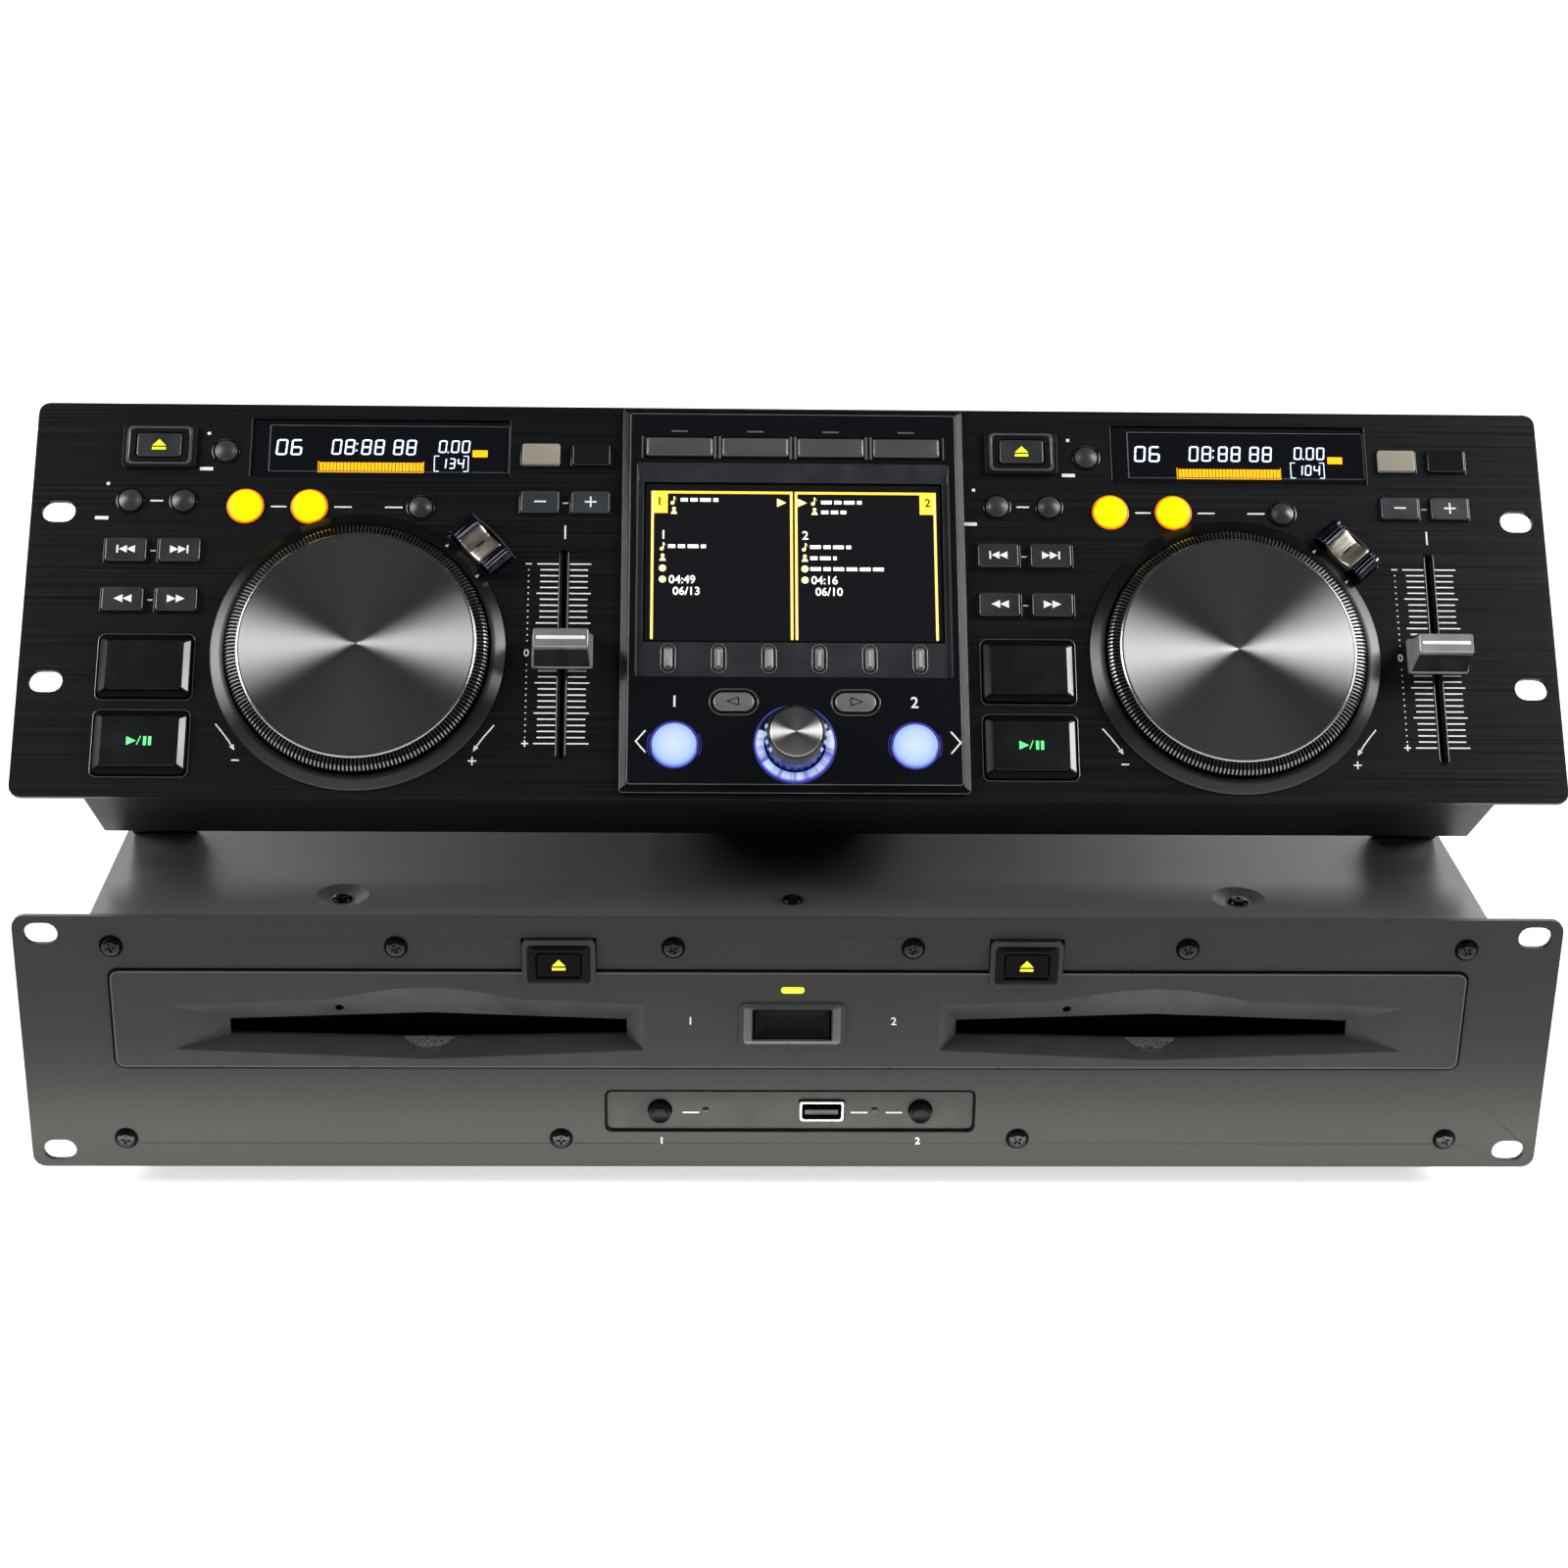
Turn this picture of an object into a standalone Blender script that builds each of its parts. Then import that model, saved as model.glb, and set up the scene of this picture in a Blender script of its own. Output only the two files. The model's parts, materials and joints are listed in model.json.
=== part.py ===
"""Dual disc player for a DJ: a two-deck controller leaning back on its two-slot drive unit.

Metres. +X is right, -Y is the front, +Z is up. The origin is on the ground, under the middle of
the player. Both units are laid out in their front panel's own frame: x right, y up the panel and
z out of its front face. An empty carries each of these frames.
"""

from math import atan2, cos, hypot, pi, radians, sin, sqrt, tau

import bmesh
import bpy
from mathutils import Matrix, Vector

# Fits that every piece shares
clearance = 0.0003
seat_gap = 0.0003
weld_distance = 0.00001
overrun = 0.004
round_count = 16
ring_count = 48
screw_count = 12

# Rack panels
panel_thickness = 0.0020
rack_ear = 0.0242
rack_slot_width = 0.0105
rack_slot_height = 0.0072
rack_slot_inset = 0.00875
drive_height = 0.0881
drive_corner = 0.0040
drive_slot_rise = 0.0381
controller_corner = 0.0035
controller_slot_rise = 0.028575

# Controller: what stands side by side on it, from the middle outwards
console_width = 0.1088
deck_gap = 0.0040
tempo_key_width = 0.0122
tempo_key_gap = 0.0039
bezel_radius = 0.0460
jog_side_gap = 0.0036
key_side_gap = 0.0046
search_key_width = 0.0134
search_key_gap = 0.0034
jog_bottom_margin = 0.0022
jog_head_room = 0.0383

# Where the rows of keys lie, as shares of half the controller's height
row_shares = {
    "eject": 0.771, "time": 0.752, "memory": 0.487, "track": 0.231, "search": -0.021,
    "cue": -0.361, "play": -0.739, "display": 0.774, "tempo": 0.741, "bend": 0.492, "zero": -0.276,
    "tabs": 0.777, "soft": -0.306, "menu": -0.532, "load": -0.744, "selector": -0.738,
}

# How the controller stands
lean = radians(40.5)
controller_rise = 0.1300
controller_setback = 0.0535
housing_depth = 0.0370
housing_inset = 0.0011
housing_side_inset = 0.0218
housing_wall = 0.0012
hump_width = 0.0900
hump_low_share = -0.42
hump_high_share = 0.43
hump_depth = 0.0530
leg_width = 0.0210
leg_thickness = 0.0210
leg_side_inset = 0.0045
leg_rise = 0.0073
leg_contact = 0.0032
stand_thickness = 0.0025
prop_width = 0.0500
prop_length = 0.0120
board_thickness = 0.0016
board_drop = 0.0019
post_radius = 0.0014

# Keys: each has a flange behind its panel, which keeps it in
flange_thickness = 0.0008
flange_lip = 0.0005
key_travel = 0.0010
key_round = 0.0006
small_key_radius = 0.0038
loop_key_radius = 0.0052
loop_key_angle = radians(19.6)
loop_key_spacing = 0.0202
loop_row_lead = 0.0352
small_key_proud = 0.0017
loop_key_proud = 0.0016
search_key_height = 0.0082
search_key_proud = 0.0016
tempo_key_height = 0.0076
tempo_key_proud = 0.0014
big_key_width = 0.0284
big_key_height = 0.0204
big_key_proud = 0.0027
big_key_slope = 0.0020
eject_key_width = 0.0144
eject_key_height = 0.0084
eject_key_proud = 0.0020
eject_frame_width = 0.0230
eject_frame_height = 0.0148
eject_frame_proud = 0.0014
time_key_inset = 0.0013

# Jog wheel, its bezel and its rocker lever
jog_radius = 0.0409
jog_gap = 0.0005
platter_radius = 0.0378
platter_height = 0.0068
jog_rim_height = 0.0042
jog_skirt = 0.0010
jog_wall = 0.0018
jog_shaft_radius = 0.0060
jog_shaft_length = 0.0060
bezel_edge = 0.0007
bezel_height = 0.0026
bezel_land = 0.0012
lever_length = 0.0198
lever_width = 0.0092
lever_angle = radians(43.3)
lever_height = 0.0058
lever_waist = 0.0032
lever_pad = 0.0042
lever_root = 0.0012
lever_gap = 0.0006

# Tempo fader
fader_travel = 0.0300
fader_slot_width = 0.0032
fader_slot_length = 0.0697
stem_width = 0.0018
stem_length = 0.0060
stem_drop = 0.0060
knob_base_width = 0.0188
knob_top_width = 0.0172
knob_base_length = 0.0112
knob_top_length = 0.0064
knob_height = 0.0138
knob_gap = 0.0006

# Deck display
window_width = 0.0815
window_height = 0.0194
window_lead_share = 0.056
window_thickness = 0.0024
window_sink = 0.0006

# Console between the decks
console_top_margin = 0.0009
console_bottom_margin = 0.0018
console_corner = 0.0012
console_lap = 0.0018
console_thickness = 0.0022
recess_border = 0.0046
recess_high_share = 0.693
recess_low_share = -0.405
recess_bevel = 0.0059
floor_lap = 0.0012
floor_thickness = 0.0024
floor_sink = 0.0013
screen_width = 0.0940
screen_high_share = 0.592
screen_low_share = -0.215
screen_thickness = 0.0030
screen_sink = 0.0005
tab_gap = 0.0028
tab_count = 4
tab_key_height = 0.0065
tab_key_proud = 0.0006
soft_key_width = 0.0029
soft_key_height = 0.0082
soft_key_proud = 0.0010
soft_key_pitch = 0.0158
soft_key_count = 6
load_key_radius = 0.0070
load_key_offset = 0.0374
load_key_proud = 0.0012
menu_key_width = 0.0129
menu_key_height = 0.0062
menu_key_offset = 0.0190
menu_key_proud = 0.0010
selector_radius = 0.00925
selector_height = 0.0118
selector_edge = 0.0012
selector_shaft_radius = 0.0035
selector_gap = 0.0006

# Screw holes of the drive unit's panel
screw_hole_radius = 0.0018
upper_screw_share = 0.772
lower_screw_share = -0.763
upper_screw_offsets = (0.0374, 0.1234, 0.2112)
lower_screw_offsets = (0.0731, 0.2112)

# Drive unit's case
foot_height = 0.0075
foot_radius = 0.0120
foot_inset = 0.0260
rail_width = 0.0120
rail_thickness = 0.0020
case_depth = 0.2900
case_side_inset = 0.0238
case_wall = 0.0012
case_edge_gap = 0.0003
dimple_radius = 0.0085
dimple_depth = 0.0014
dimple_setback = 0.0170
dimple_offset = 0.1415

# Drive fascia and its disc slots
fascia_half_width = 0.2122
fascia_high = 0.0256
fascia_low = -0.0077
fascia_corner = 0.0026
fascia_gap = 0.0006
fascia_proud = 0.0008
fascia_thickness = 0.0066
slot_offset = 0.1144
slot_half_width = 0.0623
slot_plane = 0.0043
slot_end_rise = 0.0027
slot_middle_rise = 0.0050
slot_end_drop = 0.0027
slot_middle_drop = 0.0042
funnel_depth = 0.0048
funnel_outer = 0.0793
funnel_inner = 0.0678
funnel_outer_rise = 0.0095
funnel_shoulder_rise = 0.0119
funnel_crown_rise = 0.0161
funnel_inner_rise = 0.0102
funnel_end_drop = 0.0058
funnel_middle_drop = 0.0091
finger_half_width = 0.0105
finger_drop = 0.0068
release_hole_radius = 0.0014
release_hole_offset = 0.0276
release_hole_rise = 0.0077
crown_width_share = 0.37

# Keys and sockets of the drive unit
drive_eject_offset = 0.0730
drive_eject_rise = 0.0287
drive_eject_width = 0.0228
drive_eject_height = 0.0162
drive_eject_key_width = 0.0138
drive_eject_key_height = 0.0082
drive_eject_proud = 0.0018
power_rise = 0.0076
power_width = 0.0334
power_height = 0.0150
power_key_width = 0.0242
power_key_height = 0.0112
drive_bezel_proud = 0.0014
drive_bezel_corner = 0.0018
lamp_width = 0.0069
lamp_height = 0.0021
lamp_rise = 0.0197
usb_panel_width = 0.1170
usb_panel_height = 0.0143
usb_panel_corner = 0.0020
usb_panel_rise = -0.0238
usb_panel_sink = 0.0008
stop_key_offset = 0.0416
stop_key_radius = 0.0035
stop_key_proud = 0.0030
usb_socket_offset = 0.0100
usb_socket_width = 0.0140
usb_socket_height = 0.0070
usb_socket_wall = 0.0006
usb_socket_depth = 0.0150
usb_tongue_thickness = 0.0018
usb_lamp_offset = 0.0270
usb_lamp_radius = 0.0011

# Slot loaders and what turns in them
loader_width = 0.1500
loader_depth = 0.1500
loader_rise = 0.0130
loader_drop = 0.0175
loader_wall = 0.0015
loader_setback = 0.0070
loader_leg = 0.0090
loader_leg_inset = 0.0040
disc_room = 0.0023
disc_radius = 0.0600
roller_radius = 0.0045
roller_length = 0.1100
roller_shaft_radius = 0.0020
roller_setback = 0.0180
spindle_hub_radius = 0.0073
spindle_hub_height = 0.0018
turntable_radius = 0.0160
turntable_thickness = 0.0026
spindle_shaft_radius = 0.0020
spindle_room = 0.0020

# Inside and behind the drive unit
drive_board_width = 0.3800
drive_board_gap = 0.0218
drive_board_lift = 0.0060
supply_width = 0.0950
supply_height = 0.0480
supply_margin = 0.0050
supply_offset = 0.1250
rear_margin = 0.0100
inlet_width = 0.0300
inlet_height = 0.0220
inlet_offset = 0.1500
jack_radius = 0.0050
jack_proud = 0.0090
jack_bore_radius = 0.0021
jack_spacing = 0.0180
jack_rise = 0.0150
jack_offset = -0.1300
jack_count = 4
port_width = 0.0250
port_height = 0.0120
port_proud = 0.0050
port_offset = -0.0500
port_spacing = 0.0500
port_count = 2
inlet_rim = 0.0030
carrier_width = 0.3200
carrier_height = 0.0460
carrier_offset = 0.0080
carrier_thickness = 0.0010

# Places that follow from the sizes above
tempo_width = 2 * tempo_key_width + tempo_key_gap
key_column_width = 2 * search_key_width + search_key_gap
deck_width = tempo_width + jog_side_gap + 2 * bezel_radius + key_side_gap + key_column_width
rack_half = console_width / 2 + deck_gap + deck_width + rack_ear
controller_height = jog_bottom_margin + 2 * bezel_radius + jog_head_room
controller_half = controller_height / 2
jog_y = -controller_half + jog_bottom_margin + bezel_radius
jog_x = {
    "left": -(console_width / 2 + deck_gap + tempo_width + jog_side_gap + bezel_radius),
    "right": console_width / 2 + deck_gap + key_column_width + key_side_gap + bezel_radius,
}
tilt = pi / 2 - lean
case_half_width = rack_half - case_side_inset
case_low = -drive_height / 2 + case_edge_gap
case_high = drive_height / 2 - case_edge_gap
drive_z = foot_height - case_low
front_y = (stop_key_proud - usb_panel_sink - case_depth - jack_proud) / 2
panel_back = -panel_thickness - seat_gap
housing_half_width = rack_half - housing_side_inset
housing_back = panel_back - housing_depth
console_low = seat_gap
console_high = console_low + console_thickness
cover_line = case_high - controller_rise + seat_gap
slot_x = {"left": -slot_offset, "right": slot_offset}

looks = {
    "panel_black": ((0.012, 0.012, 0.014), 0.38, 0.7),
    "panel_grey": ((0.055, 0.053, 0.050), 0.55, 0.2),
    "case_grey": ((0.045, 0.042, 0.040), 0.42, 0.2),
    "gloss_black": ((0.006, 0.006, 0.007), 0.12, 0.0),
    "satin_black": ((0.020, 0.020, 0.022), 0.45, 0.0),
    "key_grey": ((0.060, 0.062, 0.066), 0.40, 0.0),
    "fascia_grey": ((0.050, 0.050, 0.050), 0.45, 0.0),
    "spun_metal": ((0.620, 0.630, 0.640), 0.28, 1.0),
    "bezel_metal": ((0.090, 0.092, 0.096), 0.32, 0.8),
    "steel": ((0.420, 0.420, 0.410), 0.35, 1.0),
    "yellow": ((1.000, 0.780, 0.020), 0.35, 0.0),
    "screen_glass": ((0.008, 0.009, 0.014), 0.06, 0.0),
    "rubber": ((0.020, 0.020, 0.020), 0.85, 0.0),
    "board_green": ((0.020, 0.140, 0.060), 0.50, 0.0),
    "knob_silver": ((0.450, 0.460, 0.480), 0.25, 0.9),
    "lit_white": ((0.550, 0.640, 0.700), 0.30, 0.0),
}

for old in list(bpy.data.objects):
    bpy.data.objects.remove(old, do_unlink=True)

parts = bpy.data.collections.new("dual_disc_player")
cutters = bpy.data.collections.new("cutters")
bpy.context.scene.collection.children.link(parts)
bpy.context.scene.collection.children.link(cutters)


def frame(name, location, angle):
    """An empty that carries one panel's frame, turned back about X by an angle."""
    empty = bpy.data.objects.new(name, None)
    empty.location = location
    empty.rotation_euler = (angle, 0, 0)
    parts.objects.link(empty)
    return empty


drive = frame("drive_frame", (0, front_y, drive_z), pi / 2)
controller = frame("controller_frame", (0, front_y + controller_setback, drive_z + controller_rise), tilt)


# Outlines, anticlockwise

def arc(x, y, radius, start, end, steps):
    """Points on a round stretch, both ends with it."""
    angles = [start + (end - start) * step / steps for step in range(steps + 1)]
    return [(x + radius * cos(angle), y + radius * sin(angle)) for angle in angles]


def rounded(width, height, corner, x=0, y=0, steps=1):
    """A rectangle with round corners, or with cut ones where a corner has one step."""
    points = []
    for quarter, (side, rise) in enumerate(((1, 1), (-1, 1), (-1, -1), (1, -1))):
        middle = (x + side * (width / 2 - corner), y + rise * (height / 2 - corner))
        points += arc(*middle, corner, quarter * pi / 2, (quarter + 1) * pi / 2, steps)
    return points


def rectangle(width, height, x=0, y=0):
    corners = ((1, 1), (-1, 1), (-1, -1), (1, -1))
    return [(x + side * width / 2, y + rise * height / 2) for side, rise in corners]


def pill(width, height, x=0, y=0, steps=3):
    return rounded(width, height, min(width, height) / 2, x, y, steps)


def circle(radius, x=0, y=0, count=round_count):
    angles = [tau * step / count for step in range(count)]
    return [(x + radius * cos(angle), y + radius * sin(angle)) for angle in angles]


def turned_about(outline, angle, x, y):
    """An outline turned about the origin and then moved."""
    return [(x + a * cos(angle) - b * sin(angle), y + a * sin(angle) + b * cos(angle)) for a, b in outline]


def at_height(outline, z):
    return [(x, y, z) for x, y in outline]


# Meshes

def plate_mesh(outlines, low, high):
    """A flat piece between two heights: the first outline is its edge, and the others are holes."""
    curve = bpy.data.curves.new("plate", "CURVE")
    curve.dimensions = "2D"
    curve.fill_mode = "BOTH"
    curve.extrude = (high - low) / 2
    for outline in outlines:
        spline = curve.splines.new("POLY")
        spline.points.add(len(outline) - 1)
        for point, (x, y) in zip(spline.points, outline):
            point.co = (x, y, 0, 1)
        spline.use_cyclic_u = True
    guide = bpy.data.objects.new("plate", curve)
    mesh = bpy.data.meshes.new_from_object(guide)
    bpy.data.objects.remove(guide)
    bpy.data.curves.remove(curve)
    body = bmesh.new()
    body.from_mesh(mesh)
    bmesh.ops.remove_doubles(body, verts=body.verts, dist=weld_distance)
    bmesh.ops.translate(body, verts=body.verts, vec=(0, 0, (low + high) / 2))
    bmesh.ops.recalc_face_normals(body, faces=body.faces)
    body.to_mesh(mesh)
    body.free()
    return mesh


def loft_mesh(rings):
    """A closed body through rings of as many points each, lowest first."""
    body = bmesh.new()
    loops = [[body.verts.new(point) for point in ring] for ring in rings]
    count = len(loops[0])
    body.faces.new(reversed(loops[0]))
    for low, high in zip(loops, loops[1:]):
        for step in range(count):
            after = (step + 1) % count
            body.faces.new((low[step], low[after], high[after], high[step]))
    body.faces.new(loops[-1])
    bmesh.ops.triangulate(body, faces=body.faces)
    mesh = bpy.data.meshes.new("loft")
    body.to_mesh(mesh)
    body.free()
    return mesh


def box_mesh(size, middle):
    body = bmesh.new()
    bmesh.ops.create_cube(body, size=1, matrix=Matrix.Translation(middle) @ Matrix.Diagonal((*size, 1)))
    mesh = bpy.data.meshes.new("box")
    body.to_mesh(mesh)
    body.free()
    return mesh


def turned_mesh(profile, count=round_count, closed=False):
    """A turned piece. Its profile of radius and height runs down the outer side, top to bottom."""
    line = bpy.data.meshes.new("profile")
    edges = [(step, step + 1) for step in range(len(profile) - 1)]
    if closed:
        edges.append((len(profile) - 1, 0))
    line.from_pydata([(radius, 0, height) for radius, height in profile], edges, [])
    guide = bpy.data.objects.new("turning", line)
    parts.objects.link(guide)
    screw = guide.modifiers.new("turn", "SCREW")
    screw.steps = screw.render_steps = count
    screw.use_merge_vertices = True
    screw.merge_threshold = weld_distance
    mesh = bpy.data.meshes.new_from_object(guide.evaluated_get(bpy.context.evaluated_depsgraph_get()))
    bpy.data.objects.remove(guide)
    bpy.data.meshes.remove(line)
    return mesh


def gathered(pieces):
    """One mesh of separate bodies, from pairs of a mesh and the matrix that places it."""
    body = bmesh.new()
    for mesh, matrix in pieces:
        before = len(body.verts)
        body.from_mesh(mesh)
        body.verts.ensure_lookup_table()
        bmesh.ops.transform(body, matrix=matrix, verts=body.verts[before:])
    mesh = bpy.data.meshes.new("gathered")
    body.to_mesh(mesh)
    body.free()
    return mesh


def moved(x=0, y=0, z=0):
    return Matrix.Translation((x, y, z))


# Turns that send a mesh's x, y and z to y, z and x, and its z to y
sideways = Matrix(((0, 0, 1, 0), (1, 0, 0, 0), (0, 1, 0, 0), (0, 0, 0, 1)))
laid_down = Matrix.Rotation(-pi / 2, 4, "X")


# Nodes

def node(name, mesh, look, parent, at=(0, 0, 0), turn=0):
    """A named piece of the player, with its own material."""
    mesh.name = name
    piece = bpy.data.objects.new(name, mesh)
    colour, roughness, metallic = looks[look]
    material = bpy.data.materials.new(name)
    material.use_nodes = True
    shader = material.node_tree.nodes["Principled BSDF"]
    shader.inputs["Base Color"].default_value = (*colour, 1)
    shader.inputs["Roughness"].default_value = roughness
    shader.inputs["Metallic"].default_value = metallic
    mesh.materials.clear()
    mesh.materials.append(material)
    mesh.shade_smooth()
    mesh.set_sharp_from_angle(angle=radians(30))
    parts.objects.link(piece)
    piece.parent = parent
    piece.location = at
    piece.rotation_euler = (0, 0, turn)
    return piece


def combine(piece, mesh, operation, at=(0, 0, 0)):
    """Cuts a mesh out of a piece, or joins it on."""
    tool = bpy.data.objects.new(piece.name + "_tool", mesh)
    cutters.objects.link(tool)
    tool.parent = piece.parent
    tool.location = at
    tool.hide_render = True
    tool.display_type = "WIRE"
    boolean = piece.modifiers.new(operation.lower(), "BOOLEAN")
    boolean.operation = operation
    boolean.object = tool
    boolean.solver = "EXACT"


def cut(piece, mesh):
    combine(piece, mesh, "DIFFERENCE")


def join(piece, mesh):
    combine(piece, mesh, "UNION")


def holes_mesh(outlines, low, high):
    """A tool that cuts holes through everything between two heights."""
    return gathered([(plate_mesh([outline], low - overrun, high + overrun), moved()) for outline in outlines])


def key_mesh(outline, under, top, slope=key_round, drop=None):
    """A key: a flange behind the panel, and a cap through it whose top edge slopes in.

    The outline is a function of how far the edge lies outside the cap.
    """
    fall = slope if drop is None else drop
    low = under - flange_thickness
    return loft_mesh([
        at_height(outline(flange_lip), low),
        at_height(outline(flange_lip), under),
        at_height(outline(0), under),
        at_height(outline(0), top - fall),
        at_height(outline(-slope), top),
    ])


def cap_mesh(outline, under, top):
    """A cap without a flange, which grows out of a web."""
    return loft_mesh([
        at_height(outline(0), under - flange_thickness / 2),
        at_height(outline(0), top - key_round),
        at_height(outline(-key_round), top),
    ])


def squared(width, height, corner=key_round):
    """The outline of a square cap, as a function of how far outside the cap it runs."""
    return lambda out: rounded(width + 2 * out, height + 2 * out, corner + max(out, 0))


def ringed(radius, count=round_count):
    return lambda out: circle(radius + out, count=count)


def pill_shaped(width, height):
    return lambda out: pill(width + 2 * out, height + 2 * out)


def keypad(name, look, caps, under, top):
    """Keys moulded on one web behind the panel. Each cap is an outline and the place of its middle."""
    body = bmesh.new()
    for outline, (x, y) in caps:
        cap = cap_mesh(outline, under, top)
        cap.transform(moved(x, y))
        body.from_mesh(cap)
    lows = [min(vert.co[axis] for vert in body.verts) for axis in (0, 1)]
    highs = [max(vert.co[axis] for vert in body.verts) for axis in (0, 1)]
    width, height = (high - low + 2 * flange_lip for low, high in zip(lows, highs))
    x, y = ((low + high) / 2 for low, high in zip(lows, highs))
    mesh = bpy.data.meshes.new("caps")
    body.to_mesh(mesh)
    body.free()
    web = plate_mesh([rectangle(width, height, x, y)], under - flange_thickness, under)
    join(node(name, web, look, controller), mesh)


def opening(width, height, x=0, y=0, corner=key_round):
    """The hole that a square key works in."""
    return rounded(width + 2 * clearance, height + 2 * clearance, corner + clearance, x, y)


def row(name):
    return row_shares[name] * controller_half


# Places on one deck, for a jog wheel at x

def column_left(x):
    """The left edge of the column of keys."""
    return x - bezel_radius - key_side_gap - key_column_width


def column_middle(x):
    return column_left(x) + key_column_width / 2


def tempo_left(x):
    return x + bezel_radius + jog_side_gap


def tempo_middle(x):
    return tempo_left(x) + tempo_width / 2


def loop_row():
    reach = bezel_radius + loop_key_radius + 2 * clearance
    return jog_y + reach * cos(loop_key_angle)


def loop_out_x(x):
    reach = bezel_radius + loop_key_radius + 2 * clearance
    return x - reach * sin(loop_key_angle)


def reloop_x(x):
    return loop_out_x(x) + loop_row_lead


def search_places(x):
    step = (search_key_width + search_key_gap) / 2
    return [(column_middle(x) + side * step, row(name)) for name in ("track", "search") for side in (-1, 1)]


def memory_places(x):
    step = (search_key_width + search_key_gap) / 2
    return [(column_middle(x) + side * step, row("memory")) for side in (-1, 1)]


def time_place(x):
    return (x - bezel_radius + time_key_inset, row("time"))


def tempo_places(x):
    step = (tempo_key_width + tempo_key_gap) / 2
    return [(tempo_middle(x) + side * step, row(name)) for name in ("tempo", "bend") for side in (-1, 1)]


def window_x(x):
    return x + window_lead_share * window_width


def lever_place(x):
    reach = bezel_radius + lever_gap + lever_width / 2
    return (x + reach * cos(lever_angle), jog_y + reach * sin(lever_angle))


def mirrored(values):
    return [side * value for value in values for side in (-1, 1)]


def rack_slots(rise):
    return [
        rounded(rack_slot_width, rack_slot_height, rack_slot_height / 2, x, y, steps=4)
        for x in mirrored([rack_half - rack_slot_inset]) for y in (-rise, rise)
    ]


# Controller: panel, console and display glass

def console_cutout():
    """Width and height of the hole in the panel under the console, and how high its middle lies."""
    high = controller_half - console_top_margin - console_lap
    low = -controller_half + console_bottom_margin + console_lap
    return console_width - 2 * console_lap, high - low, (high + low) / 2


def deck_holes(x):
    holes = [opening(search_key_width, search_key_height, *place) for place in search_places(x)]
    small_places = memory_places(x) + [time_place(x), (reloop_x(x), loop_row())]
    holes += [circle(small_key_radius + clearance, *place) for place in small_places]
    holes += [opening(tempo_key_width, tempo_key_height, *place) for place in tempo_places(x)]
    middle = column_middle(x)
    holes += [opening(big_key_width, big_key_height, middle, row(name)) for name in ("cue", "play")]
    holes.append(opening(eject_key_width, eject_key_height, middle, row("eject")))
    for loop_x in (loop_out_x(x), loop_out_x(x) - loop_key_spacing):
        holes.append(circle(loop_key_radius + clearance, loop_x, loop_row()))
    holes.append(circle(jog_shaft_radius + clearance, x, jog_y))
    holes.append(pill(fader_slot_width, fader_slot_length, tempo_middle(x), row("zero")))
    window_size = (window_width + 2 * clearance, window_height + 2 * clearance)
    holes.append(rectangle(*window_size, window_x(x), row("display")))
    lever_hole = rectangle(lever_width + 2 * clearance, lever_length + 2 * clearance)
    holes.append(turned_about(lever_hole, lever_angle, *lever_place(x)))
    return holes


def make_control_panel():
    """The front plate, with a frame round each eject key."""
    edge = rounded(2 * rack_half, controller_height, controller_corner, steps=4)
    width, height, middle = console_cutout()
    outlines = [edge, rectangle(width, height, 0, middle)] + rack_slots(controller_slot_rise)
    panel = node("control_panel", plate_mesh(outlines, -panel_thickness, 0), "panel_black", controller)
    frame_size = (eject_frame_width, eject_frame_height, 2 * key_round)
    for x in jog_x.values():
        frame_edge = rounded(*frame_size, column_middle(x), row("eject"), 2)
        join(panel, plate_mesh([frame_edge], -panel_thickness / 2, eject_frame_proud))
        cut(panel, holes_mesh(deck_holes(x), -panel_thickness, eject_frame_proud))


def tab_width():
    return (console_width - 2 * recess_border - (tab_count + 1) * tab_gap) / tab_count


def tab_places():
    step = tab_width() + tab_gap
    middle = (tab_count - 1) / 2
    return [((place - middle) * step, row("tabs")) for place in range(tab_count)]


def soft_places():
    middle = (soft_key_count - 1) / 2
    return [((place - middle) * soft_key_pitch, row("soft")) for place in range(soft_key_count)]


def recess_outline(high_inset, inset=0):
    """The console's sunken middle: its upper side slopes down to the screen."""
    high = recess_high_share * controller_half - high_inset
    low = recess_low_share * controller_half
    width = console_width - 2 * recess_border - 2 * inset
    return rectangle(width, high - low, 0, (high + low) / 2)


def screen_outline(room):
    high = screen_high_share * controller_half + room
    low = screen_low_share * controller_half - room
    return rectangle(screen_width + 2 * room, high - low, 0, (high + low) / 2)


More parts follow.
